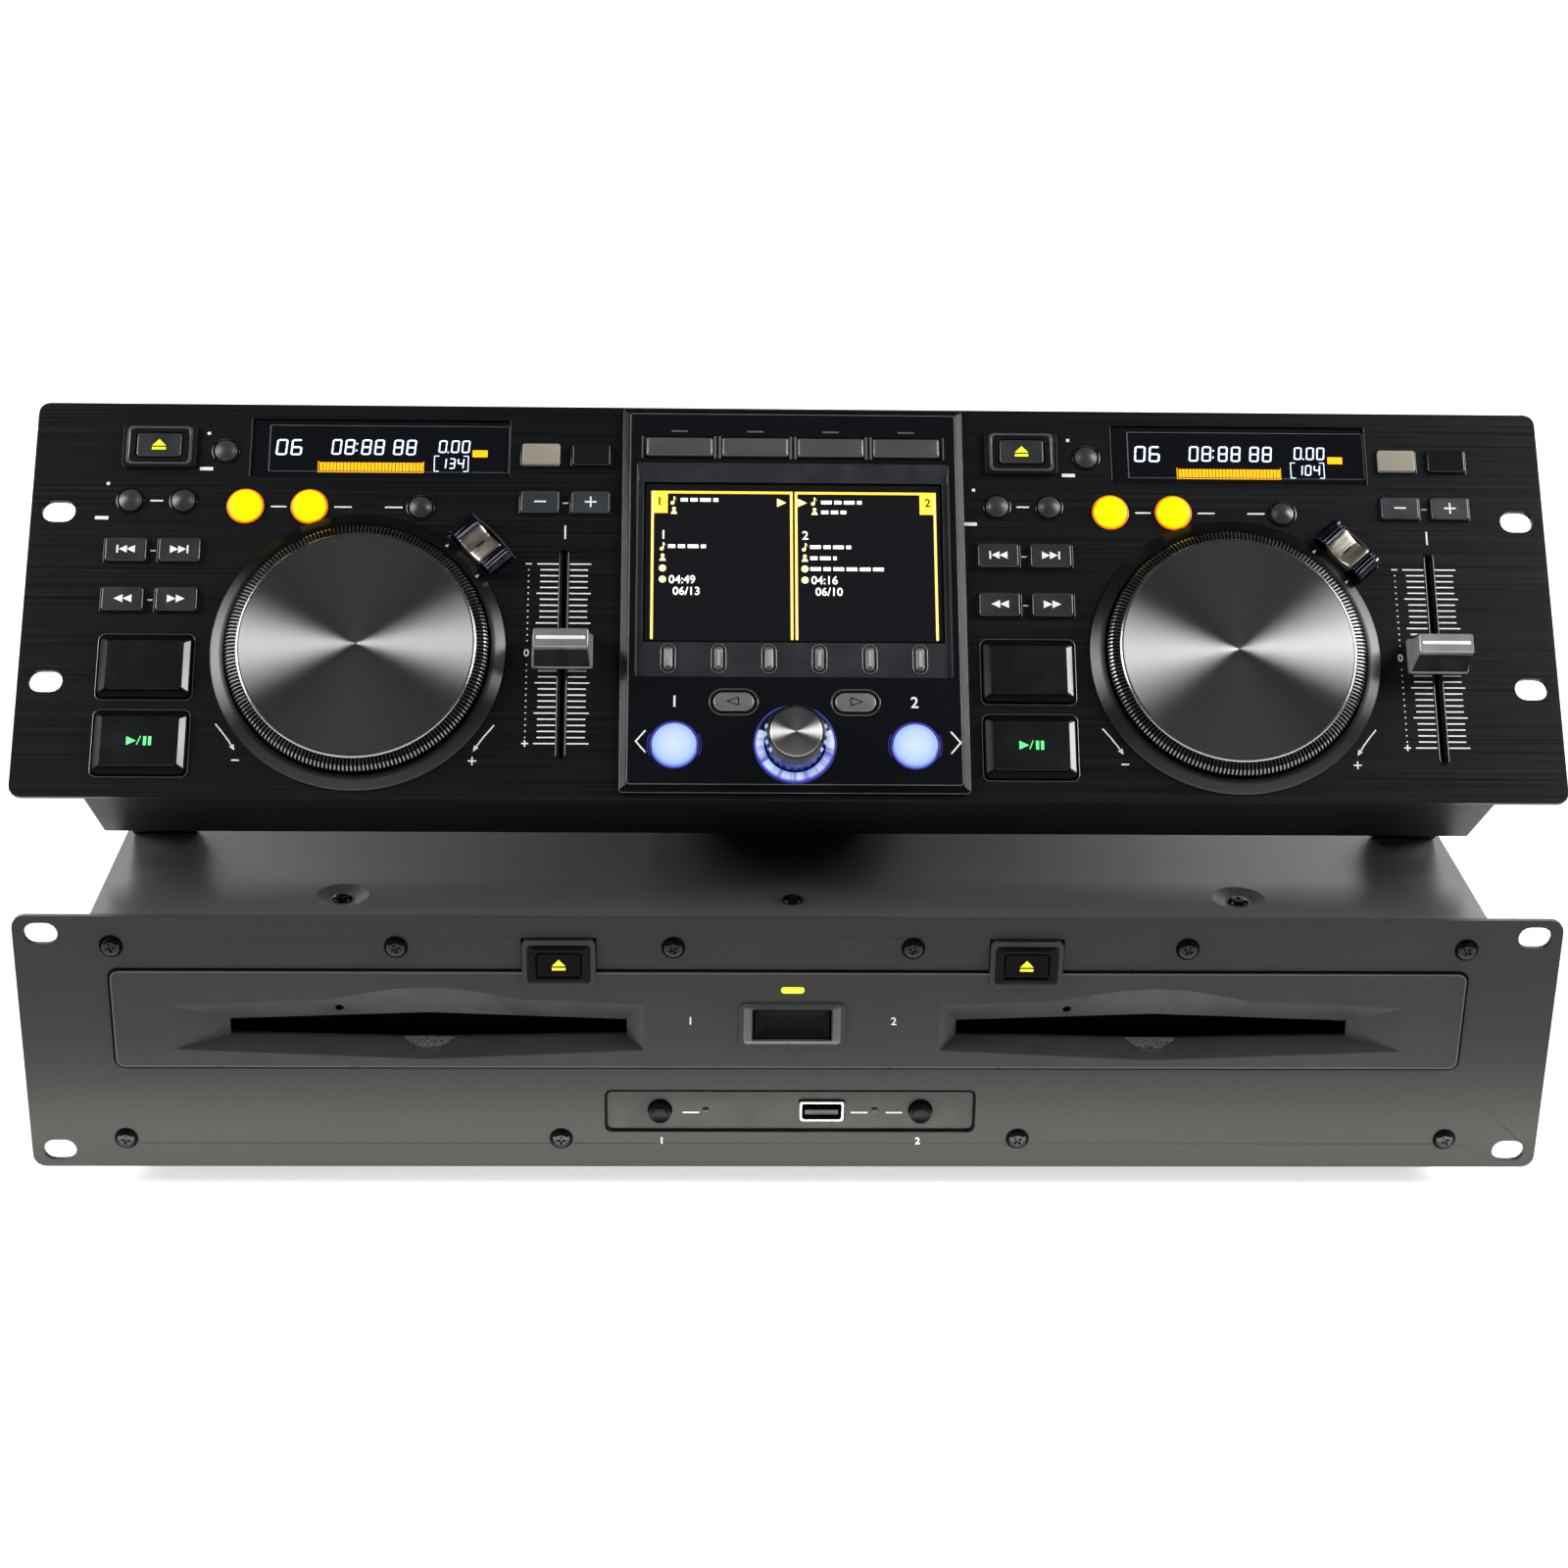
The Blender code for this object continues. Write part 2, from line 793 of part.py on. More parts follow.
def make_console():
    high = controller_half - console_top_margin
    low = -controller_half + console_bottom_margin
    edge = rounded(console_width, high - low, console_corner, 0, (high + low) / 2, 2)
    holes = [opening(tab_width(), tab_key_height, *place) for place in tab_places()]
    holes += [circle(load_key_radius + clearance, x, row("load"), 24) for x in mirrored([load_key_offset])]
    holes.append(circle(selector_shaft_radius + clearance, 0, row("selector")))
    for x in mirrored([menu_key_offset]):
        holes.append(pill(menu_key_width + 2 * clearance, menu_key_height + 2 * clearance, x, row("menu")))
    mesh = plate_mesh([edge] + holes, console_low, console_high)
    console = node("console_frame", mesh, "gloss_black", controller)
    cut(console, loft_mesh([
        at_height(recess_outline(recess_bevel), console_low - overrun),
        at_height(recess_outline(recess_bevel), console_low),
        at_height(recess_outline(0), console_high),
        at_height(recess_outline(0), console_high + overrun),
    ]))
    floor_high = console_high - floor_sink
    pills = [
        pill(soft_key_width + 2 * clearance, soft_key_height + 2 * clearance, *place) for place in soft_places()
    ]
    floor_edge = recess_outline(recess_bevel - floor_lap, -floor_lap)
    floor_edge = [(x, y - (floor_lap if y < 0 else 0)) for x, y in floor_edge]
    floor_outlines = [floor_edge, screen_outline(clearance)] + pills
    join(console, plate_mesh(floor_outlines, floor_high - floor_thickness, floor_high))


def make_glass():
    high = console_high - floor_sink - screen_sink
    screen = plate_mesh([screen_outline(0)], high - screen_thickness, high)
    node("screen", screen, "screen_glass", controller)
    for side, x in jog_x.items():
        edge = rectangle(window_width, window_height)
        window = plate_mesh([edge], -window_sink - window_thickness, -window_sink)
        node("display_window_" + side, window, "screen_glass", controller, (window_x(x), row("display"), 0))


# Controller: decks

def bezel_mesh():
    """The ring round a jog wheel, which slopes up to it."""
    inner = jog_radius + jog_gap
    return turned_mesh([
        (inner + bezel_land, bezel_height), (bezel_radius, bezel_edge + seat_gap), (bezel_radius, seat_gap),
        (inner, seat_gap), (inner, bezel_height),
    ], ring_count, closed=True)


def jog_mesh():
    shaft_end = panel_back - jog_shaft_length
    return turned_mesh([
        (0, platter_height), (platter_radius, platter_height), (jog_radius, jog_rim_height),
        (jog_radius, jog_skirt), (jog_radius - jog_wall, jog_skirt),
        (platter_radius - jog_wall, platter_height - jog_wall), (jog_shaft_radius, platter_height - jog_wall),
        (jog_shaft_radius, shaft_end), (0, shaft_end),
    ], ring_count)


def lever_mesh():
    """A see-saw key with a hollow middle between two raised pads, extruded along its hinge axis."""
    half = lever_length / 2
    pad = half - lever_pad
    chamfer = lever_pad / 4
    dip = lever_height - lever_waist
    hollow_radius = (pad * pad + dip * dip) / (2 * dip)
    spread = atan2(pad, hollow_radius - dip)
    hollow = arc(0, lever_waist + hollow_radius, hollow_radius, -pi / 2 + spread, -pi / 2 - spread, 6)
    outline = [(-half, -lever_root), (half, -lever_root), (half, lever_waist), (half - chamfer, lever_height)]
    outline += hollow + [(chamfer - half, lever_height), (-half, lever_waist)]
    mesh = plate_mesh([outline], -lever_width / 2, lever_width / 2)
    mesh.transform(sideways)
    return mesh


def fader_mesh():
    def ring(width, length, z):
        return at_height(rounded(width, length, stem_width / 4), z)
    return loft_mesh([
        ring(stem_width, stem_length, panel_back - stem_drop),
        ring(stem_width, stem_length, knob_gap),
        ring(knob_base_width, knob_base_length, knob_gap),
        ring(knob_top_width, knob_top_length, knob_height),
    ])


def make_deck(side):
    x = jog_x[side]
    under = panel_back
    node("jog_bezel_" + side, bezel_mesh(), "bezel_metal", controller, (x, jog_y, 0))
    node("jog_wheel_" + side, jog_mesh(), "spun_metal", controller, (x, jog_y, 0))
    node("jog_lever_" + side, lever_mesh(), "knob_silver", controller, (*lever_place(x), 0), lever_angle)
    node("fader_" + side, fader_mesh(), "knob_silver", controller, (tempo_middle(x), row("zero"), 0))
    big_outline = squared(big_key_width, big_key_height)
    for name in ("cue", "play"):
        big_key = key_mesh(big_outline, under, big_key_proud, big_key_slope, big_key_proud - key_round)
        node(name + "_key_" + side, big_key, "gloss_black", controller, (column_middle(x), row(name), 0))
    for name, key_x in (("loop_in", loop_out_x(x) - loop_key_spacing), ("loop_out", loop_out_x(x))):
        loop_key = key_mesh(ringed(loop_key_radius, 20), under, loop_key_proud)
        node(name + "_key_" + side, loop_key, "yellow", controller, (key_x, loop_row(), 0))
    for name, place in (("time", time_place(x)), ("reloop", (reloop_x(x), loop_row()))):
        small_key = key_mesh(ringed(small_key_radius), under, small_key_proud, 2 * key_round, key_round)
        node(name + "_key_" + side, small_key, "key_grey", controller, (*place, 0))
    eject_key = key_mesh(squared(eject_key_width, eject_key_height), under, eject_key_proud)
    node("eject_key_" + side, eject_key, "gloss_black", controller, (column_middle(x), row("eject"), 0))
    search_cap = squared(search_key_width, search_key_height)
    caps = [(search_cap, place) for place in search_places(x)]
    caps += [(ringed(small_key_radius), place) for place in memory_places(x)]
    keypad("search_keys_" + side, "key_grey", caps, under, search_key_proud)
    tempo_cap = squared(tempo_key_width, tempo_key_height)
    caps = [(tempo_cap, place) for place in tempo_places(x)]
    keypad("tempo_keys_" + side, "key_grey", caps, under, tempo_key_proud)


# Controller: keys of the console

def make_console_keys():
    under = console_low - seat_gap
    tabs = [(squared(tab_width(), tab_key_height), place) for place in tab_places()]
    keypad("tab_keys", "key_grey", tabs, under, console_high + tab_key_proud)
    floor_high = console_high - floor_sink
    softs = [(pill_shaped(soft_key_width, soft_key_height), place) for place in soft_places()]
    keypad("soft_keys", "key_grey", softs, floor_high - floor_thickness - seat_gap, floor_high + soft_key_proud)
    menu_cap = pill_shaped(menu_key_width, menu_key_height)
    menus = [(menu_cap, (x, row("menu"))) for x in mirrored([menu_key_offset])]
    keypad("menu_keys", "gloss_black", menus, under, console_high + menu_key_proud)
    for side, x in (("left", -load_key_offset), ("right", load_key_offset)):
        load_key = key_mesh(ringed(load_key_radius, 24), under, console_high + load_key_proud)
        node("load_key_" + side, load_key, "gloss_black", controller, (x, row("load"), 0))
    base = console_high + selector_gap
    top = base + selector_height
    shaft_end = panel_back - board_drop
    selector = turned_mesh([
        (0, top), (selector_radius - selector_edge, top), (selector_radius, top - selector_edge),
        (selector_radius, base), (selector_shaft_radius, base), (selector_shaft_radius, shaft_end),
        (0, shaft_end),
    ], 24)
    node("selector_knob", selector, "lit_white", controller, (0, row("selector"), 0))


# Controller: what lies behind its panel

def make_board():
    """The circuit board behind the keys, on posts that reach the panel's back."""
    high = panel_back - flange_thickness - board_drop
    half_width = housing_half_width - housing_wall - 2 * clearance
    half_height = controller_half - housing_inset - housing_wall - 2 * clearance
    holes = [circle(jog_shaft_radius + 2 * clearance, x, jog_y) for x in jog_x.values()]
    for x in jog_x.values():
        holes.append(rectangle(2 * stem_width, fader_slot_length, tempo_middle(x), row("zero")))
    mesh = plate_mesh([rectangle(2 * half_width, 2 * half_height)] + holes, high - board_thickness, high)
    board = node("controller_board", mesh, "board_green", controller)
    post = plate_mesh([circle(post_radius, count=8)], high - board_thickness / 2, panel_back - clearance)
    inner = console_width / 2 + deck_gap / 2
    outer = half_width - 2 * post_radius
    rise = half_height - post_radius - clearance
    places = [(post, moved(x, y)) for x in mirrored([inner, outer]) for y in (-rise, rise)]
    join(board, gathered(places))


def hump_sides():
    return hump_low_share * controller_half, hump_high_share * controller_half


def make_housing():
    """A pan behind the panel, with a hump at the back for the sockets."""
    width = 2 * housing_half_width
    height = controller_height - 2 * housing_inset
    depth = panel_back - housing_back
    pan = box_mesh((width, height, depth), (0, 0, panel_back - depth / 2))
    housing = node("controller_housing", pan, "case_grey", controller)
    low, high = hump_sides()
    middle = (low + high) / 2
    join(housing, box_mesh(
        (hump_width, high - low, hump_depth + housing_wall),
        (0, middle, housing_back - (hump_depth - housing_wall) / 2),
    ))
    cut(housing, box_mesh(
        (width - 2 * housing_wall, height - 2 * housing_wall, depth),
        (0, 0, panel_back - depth / 2 + housing_wall),
    ))
    cut(housing, box_mesh(
        (hump_width - 2 * housing_wall, high - low - 2 * housing_wall, hump_depth + housing_wall),
        (0, middle, housing_back - (hump_depth - 3 * housing_wall) / 2),
    ))


def make_stand():
    """A bracket on the housing's back: two legs at its ends, and an arm under the hump with a prop.

    Legs and prop are cut level, so that they stand flat on the drive unit's cover.
    """
    def depth_on_cover(y):
        return (cover_line - y * sin(tilt)) / cos(tilt)

    def height_on_cover(z):
        return (cover_line - z * cos(tilt)) / sin(tilt)

    root = housing_back - seat_gap
    low = -controller_half + leg_rise
    toe = depth_on_cover(low)
    heel = toe - leg_contact * sin(tilt)
    leg = plate_mesh([[
        (low, root), (low, toe), (low + leg_contact * cos(tilt), heel), (low + leg_thickness, heel),
        (low + leg_thickness, root),
    ][::-1]], -leg_width / 2, leg_width / 2)
    under = hump_sides()[0] - seat_gap
    back = housing_back - hump_depth
    front = back + prop_length
    arm = plate_mesh([[
        (low, root), (low, root - stand_thickness), (under - stand_thickness, root - stand_thickness),
        (under - stand_thickness, front), (height_on_cover(front), front), (height_on_cover(back), back),
        (under, back), (under, root),
    ][::-1]], -prop_width / 2, prop_width / 2)
    arm.transform(sideways)
    stand = node("controller_stand", arm, "satin_black", controller)
    offset = housing_half_width - leg_side_inset - leg_width / 2
    bar = box_mesh(
        (2 * offset, leg_thickness, stand_thickness), (0, low + leg_thickness / 2, root - stand_thickness / 2),
    )
    join(stand, bar)
    join(stand, gathered([(leg, moved(x) @ sideways) for x in mirrored([offset])]))


# Drive unit: front

def fascia_opening(room):
    """The hole that the fascia fills, with a step up at each eject frame and some room around it."""
    half_width, high, low = fascia_half_width + room, fascia_high + room, fascia_low - room
    corner = fascia_corner + room
    reach = drive_eject_width / 2 + clearance
    level = drive_eject_rise + drive_eject_height / 2 + clearance
    points = arc(half_width - corner, high - corner, corner, 0, pi / 2, 3)
    for x in (drive_eject_offset, -drive_eject_offset):
        points += [(x + reach, high), (x + reach, level), (x - reach, level), (x - reach, high)]
    points += arc(corner - half_width, high - corner, corner, pi / 2, pi, 3)
    points += arc(corner - half_width, low + corner, corner, pi, 3 * pi / 2, 3)
    points += arc(half_width - corner, low + corner, corner, 3 * pi / 2, tau, 3)
    return points


def screw_places():
    upper = [(x, upper_screw_share * drive_height / 2) for x in mirrored(upper_screw_offsets)]
    lower = [(x, lower_screw_share * drive_height / 2) for x in mirrored(lower_screw_offsets)]
    return upper + lower


def usb_hole(room):
    corner = usb_panel_corner + room
    return rounded(usb_panel_width + 2 * room, usb_panel_height + 2 * room, corner, 0, usb_panel_rise, 2)


def make_drive_panel():
    edge = rounded(2 * rack_half, drive_height, drive_corner, steps=4)
    holes = [fascia_opening(fascia_gap), usb_hole(clearance)] + rack_slots(drive_slot_rise)
    holes += [circle(screw_hole_radius, *place, screw_count) for place in screw_places()]
    node("drive_panel", plate_mesh([edge] + holes, -panel_thickness, 0), "panel_grey", drive)


def funnel_rings(side):
    """Rings of one slot's funnel, from the fascia's front to the mouth behind it."""
    crown = crown_width_share * funnel_outer
    front_upper = [(funnel_outer, funnel_outer_rise), (crown, funnel_shoulder_rise)]
    steps = 6
    for step in range(1, steps):
        share = step / steps
        rise = funnel_shoulder_rise + (funnel_crown_rise - funnel_shoulder_rise) * sin(pi * share)
        front_upper.append((crown * (1 - 2 * share), rise))
    front_upper += [(-crown, funnel_shoulder_rise), (-funnel_inner, funnel_inner_rise)]
    front_lower = [(-funnel_inner, -funnel_end_drop), (0, -funnel_middle_drop)]
    front_lower.append((funnel_outer, -funnel_end_drop))

    def mouth(u, upper):
        outer = funnel_outer if u > 0 else funnel_inner
        share = abs(u) / outer
        rise = slot_middle_rise + (slot_end_rise - slot_middle_rise) * share
        drop = slot_middle_drop + (slot_end_drop - slot_middle_drop) * share
        return (slot_half_width * (u / outer), rise if upper else -drop)

    front = front_upper + front_lower
    back = [mouth(u, True) for u, _ in front_upper] + [mouth(u, False) for u, _ in front_lower]
    out = -1 if side == "left" else 1

    def placed(points):
        points = [(out * (slot_offset + u), slot_plane + v) for u, v in points]
        return points[::-1] if out < 0 else points
    front, back = placed(front), placed(back)
    return [
        at_height(back, fascia_proud - fascia_thickness - overrun),
        at_height(back, fascia_proud - funnel_depth),
        at_height(front, fascia_proud),
        at_height(front, fascia_proud + overrun),
    ]


def make_fascia():
    """The insert with the disc slots, and the frames round its keys."""
    low = fascia_proud - fascia_thickness
    middle = (fascia_high + fascia_low) / 2
    edge = rounded(2 * fascia_half_width, fascia_high - fascia_low, fascia_corner, 0, middle, 3)
    fascia = node("drive_fascia", plate_mesh([edge], low, fascia_proud), "fascia_grey", drive)
    frames = [(power_width, power_height, 0, power_rise)]
    for x in mirrored([drive_eject_offset]):
        frames.append((drive_eject_width, drive_eject_height, x, drive_eject_rise))
    for width, height, x, y in frames:
        frame_edge = rounded(width, height, drive_bezel_corner, x, y, 2)
        join(fascia, plate_mesh([frame_edge], low + overrun / 4, drive_bezel_proud))
    holes = [rectangle(lamp_width, lamp_height, 0, lamp_rise)]
    holes.append(opening(power_key_width, power_key_height, 0, power_rise))
    for x in mirrored([drive_eject_offset]):
        holes.append(opening(drive_eject_key_width, drive_eject_key_height, x, drive_eject_rise))
    for side, x in slot_x.items():
        holes.append(circle(release_hole_radius, x - release_hole_offset, slot_plane + release_hole_rise, 10))
        cut(fascia, loft_mesh(funnel_rings(side)))
        finger = arc(x, 0, finger_half_width, pi, tau, 10)
        finger = [(a, slot_plane + b * finger_drop / finger_half_width) for a, b in finger]
        cut(fascia, plate_mesh([finger], low - overrun, fascia_proud + overrun))
    cut(fascia, holes_mesh(holes, low, drive_bezel_proud))


def make_drive_keys():
    under = fascia_proud - fascia_thickness - seat_gap
    for side, x in (("left", -drive_eject_offset), ("right", drive_eject_offset)):
        eject_key = key_mesh(squared(drive_eject_key_width, drive_eject_key_height), under, drive_eject_proud)
        node("disc_eject_key_" + side, eject_key, "gloss_black", drive, (x, drive_eject_rise, 0))
    power_key = key_mesh(squared(power_key_width, power_key_height), under, drive_bezel_proud)
    node("power_key", power_key, "gloss_black", drive, (0, power_rise, 0))
    usb_back = -usb_panel_sink - panel_thickness
    for side, x in (("left", -stop_key_offset), ("right", stop_key_offset)):
        stop_key = key_mesh(ringed(stop_key_radius), usb_back - seat_gap, stop_key_proud - usb_panel_sink)
        node("usb_stop_key_" + side, stop_key, "satin_black", drive, (x, usb_panel_rise, 0))


def make_usb():
    holes = [circle(stop_key_radius + clearance, x, usb_panel_rise) for x in mirrored([stop_key_offset])]
    holes += [circle(usb_lamp_radius, x, usb_panel_rise, 8) for x in mirrored([usb_lamp_offset])]
    socket_room = (usb_socket_width + 2 * clearance, usb_socket_height + 2 * clearance)
    holes.append(rectangle(*socket_room, usb_socket_offset, usb_panel_rise))
    mesh = plate_mesh([usb_hole(0)] + holes, -usb_panel_sink - panel_thickness, -usb_panel_sink)
    node("usb_panel", mesh, "satin_black", drive)
    inner = (usb_socket_width - 2 * usb_socket_wall, usb_socket_height - 2 * usb_socket_wall)
    outlines = [rectangle(usb_socket_width, usb_socket_height), rectangle(*inner)]
    socket_at = (usb_socket_offset, usb_panel_rise, 0)
    socket = node("usb_socket", plate_mesh(outlines, -usb_socket_depth, 0), "steel", drive, socket_at)
    back = box_mesh(
        (inner[0] + usb_socket_wall, inner[1] + usb_socket_wall, usb_socket_wall),
        (0, 0, usb_socket_wall / 2 - usb_socket_depth),
    )
    combine(socket, back, "UNION", socket_at)
    tongue_length = usb_socket_depth - 2 * usb_socket_wall
    tongue_rise = (inner[1] - usb_tongue_thickness) / 2 - usb_socket_wall
    tongue = box_mesh(
        (inner[0] - 2 * usb_socket_wall, usb_tongue_thickness, tongue_length),
        (0, tongue_rise, (tongue_length + usb_socket_wall) / 2 - usb_socket_depth),
    )
    combine(socket, tongue, "UNION", socket_at)


# Drive unit: case

def make_chassis():
    """The floor, the back wall and the frame behind the front panel, in one folded piece."""
    half_width = case_half_width - case_wall - clearance
    high = case_high - case_wall - clearance
    rise = [
        (case_low, panel_back), (case_low, -case_depth), (high, -case_depth), (high, case_wall - case_depth),
        (case_low + case_wall, case_wall - case_depth), (case_low + case_wall, panel_back),
    ]
    profile = plate_mesh([rise[::-1]], -half_width, half_width)
    profile.transform(sideways)
    chassis = node("drive_chassis", profile, "steel", drive)
    holes = [fascia_opening(2 * fascia_gap), usb_hole(fascia_gap)]
    holes += [circle(screw_hole_radius, *place, screw_count) for place in screw_places()]
    edge = rectangle(2 * half_width, high - case_low, 0, (high + case_low) / 2)
    join(chassis, plate_mesh([edge], panel_back - case_wall, panel_back))
    cut(chassis, holes_mesh(holes, panel_back - case_wall, panel_back))


def make_cover():
    outer, inner = case_half_width, case_half_width - case_wall
    profile = [
        (outer, case_low), (outer, case_high), (-outer, case_high), (-outer, case_low),
        (-inner, case_low), (-inner, case_high - case_wall), (inner, case_high - case_wall), (inner, case_low),
    ]
    cover = node("top_cover", plate_mesh([profile], -case_depth, panel_back), "case_grey", drive)
    rim = dimple_radius + case_wall
    cup = turned_mesh([
        (0, -case_wall / 2), (rim, -case_wall / 2), (rim, -case_wall),
        (rim / 2, -dimple_depth - case_wall), (0, -dimple_depth - case_wall),
    ])
    dish = turned_mesh([
        (0, overrun), (dimple_radius, overrun), (dimple_radius, 0), (dimple_radius / 2, -dimple_depth),
        (0, -dimple_depth),
    ])
    places = [moved(x, case_high, -dimple_setback) @ laid_down for x in dimple_places()]
    join(cover, gathered([(cup, place) for place in places]))
    cut(cover, gathered([(dish, place) for place in places]))


def dimple_places():
    return [0] + mirrored([dimple_offset])


def make_feet():
    """Four round feet on two rails under the floor, which a cross bar ties together."""
    foot = turned_mesh([
        (0, -seat_gap), (foot_radius, -seat_gap), (foot_radius - key_round, -foot_height), (0, -foot_height),
    ])
    ends = (-foot_inset - panel_thickness, foot_inset - case_depth)
    middle_z = sum(ends) / 2
    middle_y = case_low - seat_gap - rail_thickness / 2
    reach = case_half_width - foot_inset
    bar = box_mesh((2 * reach, rail_thickness, rail_width), (0, middle_y, middle_z))
    feet = node("drive_feet", bar, "rubber", drive)
    rail = box_mesh((rail_width, rail_thickness, ends[0] - ends[1]), (0, middle_y, middle_z))
    join(feet, gathered([(rail, moved(x)) for x in mirrored([reach])]))
    join(feet, gathered([(foot, moved(x, case_low, z) @ laid_down) for x in mirrored([reach]) for z in ends]))


# Drive unit: inside

def make_loader(side):
    """A slot loader: a box open at the front, on four legs, with bearings for its roller and spindle."""
    x = slot_x[side]
    low, high = slot_plane - loader_drop, slot_plane + loader_rise
    front = -loader_setback
    back = front - loader_depth
    middle_y, middle_z = (low + high) / 2, (front + back) / 2
    box = box_mesh((loader_width, high - low, loader_depth), (x, middle_y, middle_z))
    loader = node("loader_" + side, box, "steel", drive)
    cut(loader, box_mesh(
        (loader_width - 2 * loader_wall, high - low - 2 * loader_wall, loader_depth + overrun),
        (x, middle_y, middle_z + loader_wall + overrun / 2),
    ))
    floor = case_low + case_wall + seat_gap
    leg_height = low - floor + loader_wall / 2
    reach_x = loader_width / 2 - loader_leg_inset - loader_leg / 2
    reach_z = loader_depth / 2 - loader_leg_inset - loader_leg / 2
    leg = box_mesh((loader_leg, leg_height, loader_leg), (0, 0, 0))
    join(loader, gathered([
        (leg, moved(x + a, floor + leg_height / 2, middle_z + b))
        for a in (-reach_x, reach_x) for b in (-reach_z, reach_z)
    ]))
    roller_y, roller_z = roller_place()
    bore_end = loader_width / 2 + overrun
    bore = plate_mesh([circle(roller_shaft_radius + clearance, count=screw_count)], -bore_end, bore_end)
    hole = plate_mesh([circle(spindle_shaft_radius + clearance, count=screw_count)], -overrun, overrun)
    cut(loader, gathered([
        (bore, moved(x, roller_y, roller_z) @ sideways),
        (hole, moved(x, low, spindle_z()) @ laid_down),
    ]))


def roller_place():
    """The roller is parked just under the disc's path."""
    return slot_plane - disc_room - clearance - roller_radius, -loader_setback - roller_setback


def spindle_z():
    return -loader_setback - roller_setback - roller_radius - disc_radius


def make_loader_pieces(side):
    x = slot_x[side]
    half = loader_width / 2
    roller = turned_mesh([
        (0, half), (roller_shaft_radius, half), (roller_shaft_radius, roller_length / 2),
        (roller_radius, roller_length / 2), (roller_radius, -roller_length / 2),
        (roller_shaft_radius, -roller_length / 2), (roller_shaft_radius, -half), (0, -half),
    ], screw_count)
    roller.transform(sideways)
    node("feed_roller_" + side, roller, "rubber", drive, (x, *roller_place()))
    top = -disc_room - clearance
    table = top - spindle_hub_height
    spindle = turned_mesh([
        (0, top), (spindle_hub_radius, top), (spindle_hub_radius, table), (turntable_radius, table),
        (turntable_radius, table - turntable_thickness), (spindle_shaft_radius, table - turntable_thickness),
        (spindle_shaft_radius, -loader_drop - spindle_room), (0, -loader_drop - spindle_room),
    ])
    spindle.transform(laid_down)
    node("disc_spindle_" + side, spindle, "knob_silver", drive, (x, slot_plane, spindle_z()))


def make_drive_board():
    """The circuit board on its posts, and the power supply's can on it."""
    floor = case_low + case_wall + seat_gap
    level = floor + drive_board_lift
    back = -case_depth + case_wall + rear_margin
    board_length = -loader_setback - loader_depth - drive_board_gap - back
    middle_z = back + board_length / 2
    board_mesh = box_mesh((drive_board_width, board_thickness, board_length), (0, level, middle_z))
    board = node("drive_board", board_mesh, "board_green", drive)
    post = box_mesh((2 * post_radius, level - floor, 2 * post_radius), (0, (level + floor) / 2, 0))
    reach_x = drive_board_width / 2 - 2 * post_radius
    reach_z = board_length / 2 - 2 * post_radius
    rows = (middle_z - reach_z, middle_z + reach_z)
    join(board, gathered([(post, moved(x, 0, z)) for x in mirrored([reach_x]) for z in rows]))
    supply_size = (supply_width, supply_height, board_length - 2 * supply_margin)
    join(board, box_mesh(supply_size, (supply_offset, level + supply_height / 2, middle_z)))


def make_rear_connectors():
    """A mains inlet, two ports for the controller's cables and four sound jacks, on one carrier."""
    back = -case_depth - seat_gap
    carrier = rounded(carrier_width, carrier_height, 2 * key_round, carrier_offset, 0)
    mesh = plate_mesh([carrier], back - carrier_thickness, back)
    connectors = node("rear_connectors", mesh, "satin_black", drive)
    root = back - carrier_thickness / 2
    inlet = plate_mesh([
        rounded(inlet_width, inlet_height, 2 * key_round),
        rectangle(inlet_width - 2 * inlet_rim, inlet_height - 2 * inlet_rim),
    ], back - port_proud, root)
    port = plate_mesh([rounded(port_width, port_height, 2 * key_round)], back - port_proud, root)
    jack_end = -case_depth - jack_proud
    jack = turned_mesh([
        (jack_radius, root), (jack_radius, jack_end), (jack_bore_radius, jack_end), (jack_bore_radius, root),
    ], screw_count, closed=True)
    pieces = [(inlet, moved(inlet_offset))]
    pieces += [(port, moved(port_offset + step * port_spacing)) for step in range(port_count)]
    for step in range(jack_count // 2):
        pieces += [(jack, moved(jack_offset + step * jack_spacing, rise)) for rise in (-jack_rise, jack_rise)]
    join(connectors, gathered(pieces))


make_control_panel()
make_console()
make_glass()
for deck in jog_x:
    make_deck(deck)
make_console_keys()
make_board()
make_housing()
make_stand()
make_drive_panel()
make_fascia()
make_drive_keys()
make_usb()
make_chassis()
make_cover()
make_feet()
for bay in slot_x:
    make_loader(bay)
    make_loader_pieces(bay)
make_drive_board()
make_rear_connectors()
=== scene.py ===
"""Looks of a two-deck disc player for DJs: a tilted controller over a two-slot drive unit."""
import json
from math import atan2, cos, hypot, pi, radians, sin, tau

import bpy
from mathutils import Matrix, Vector
from mathutils.geometry import tessellate_polygon

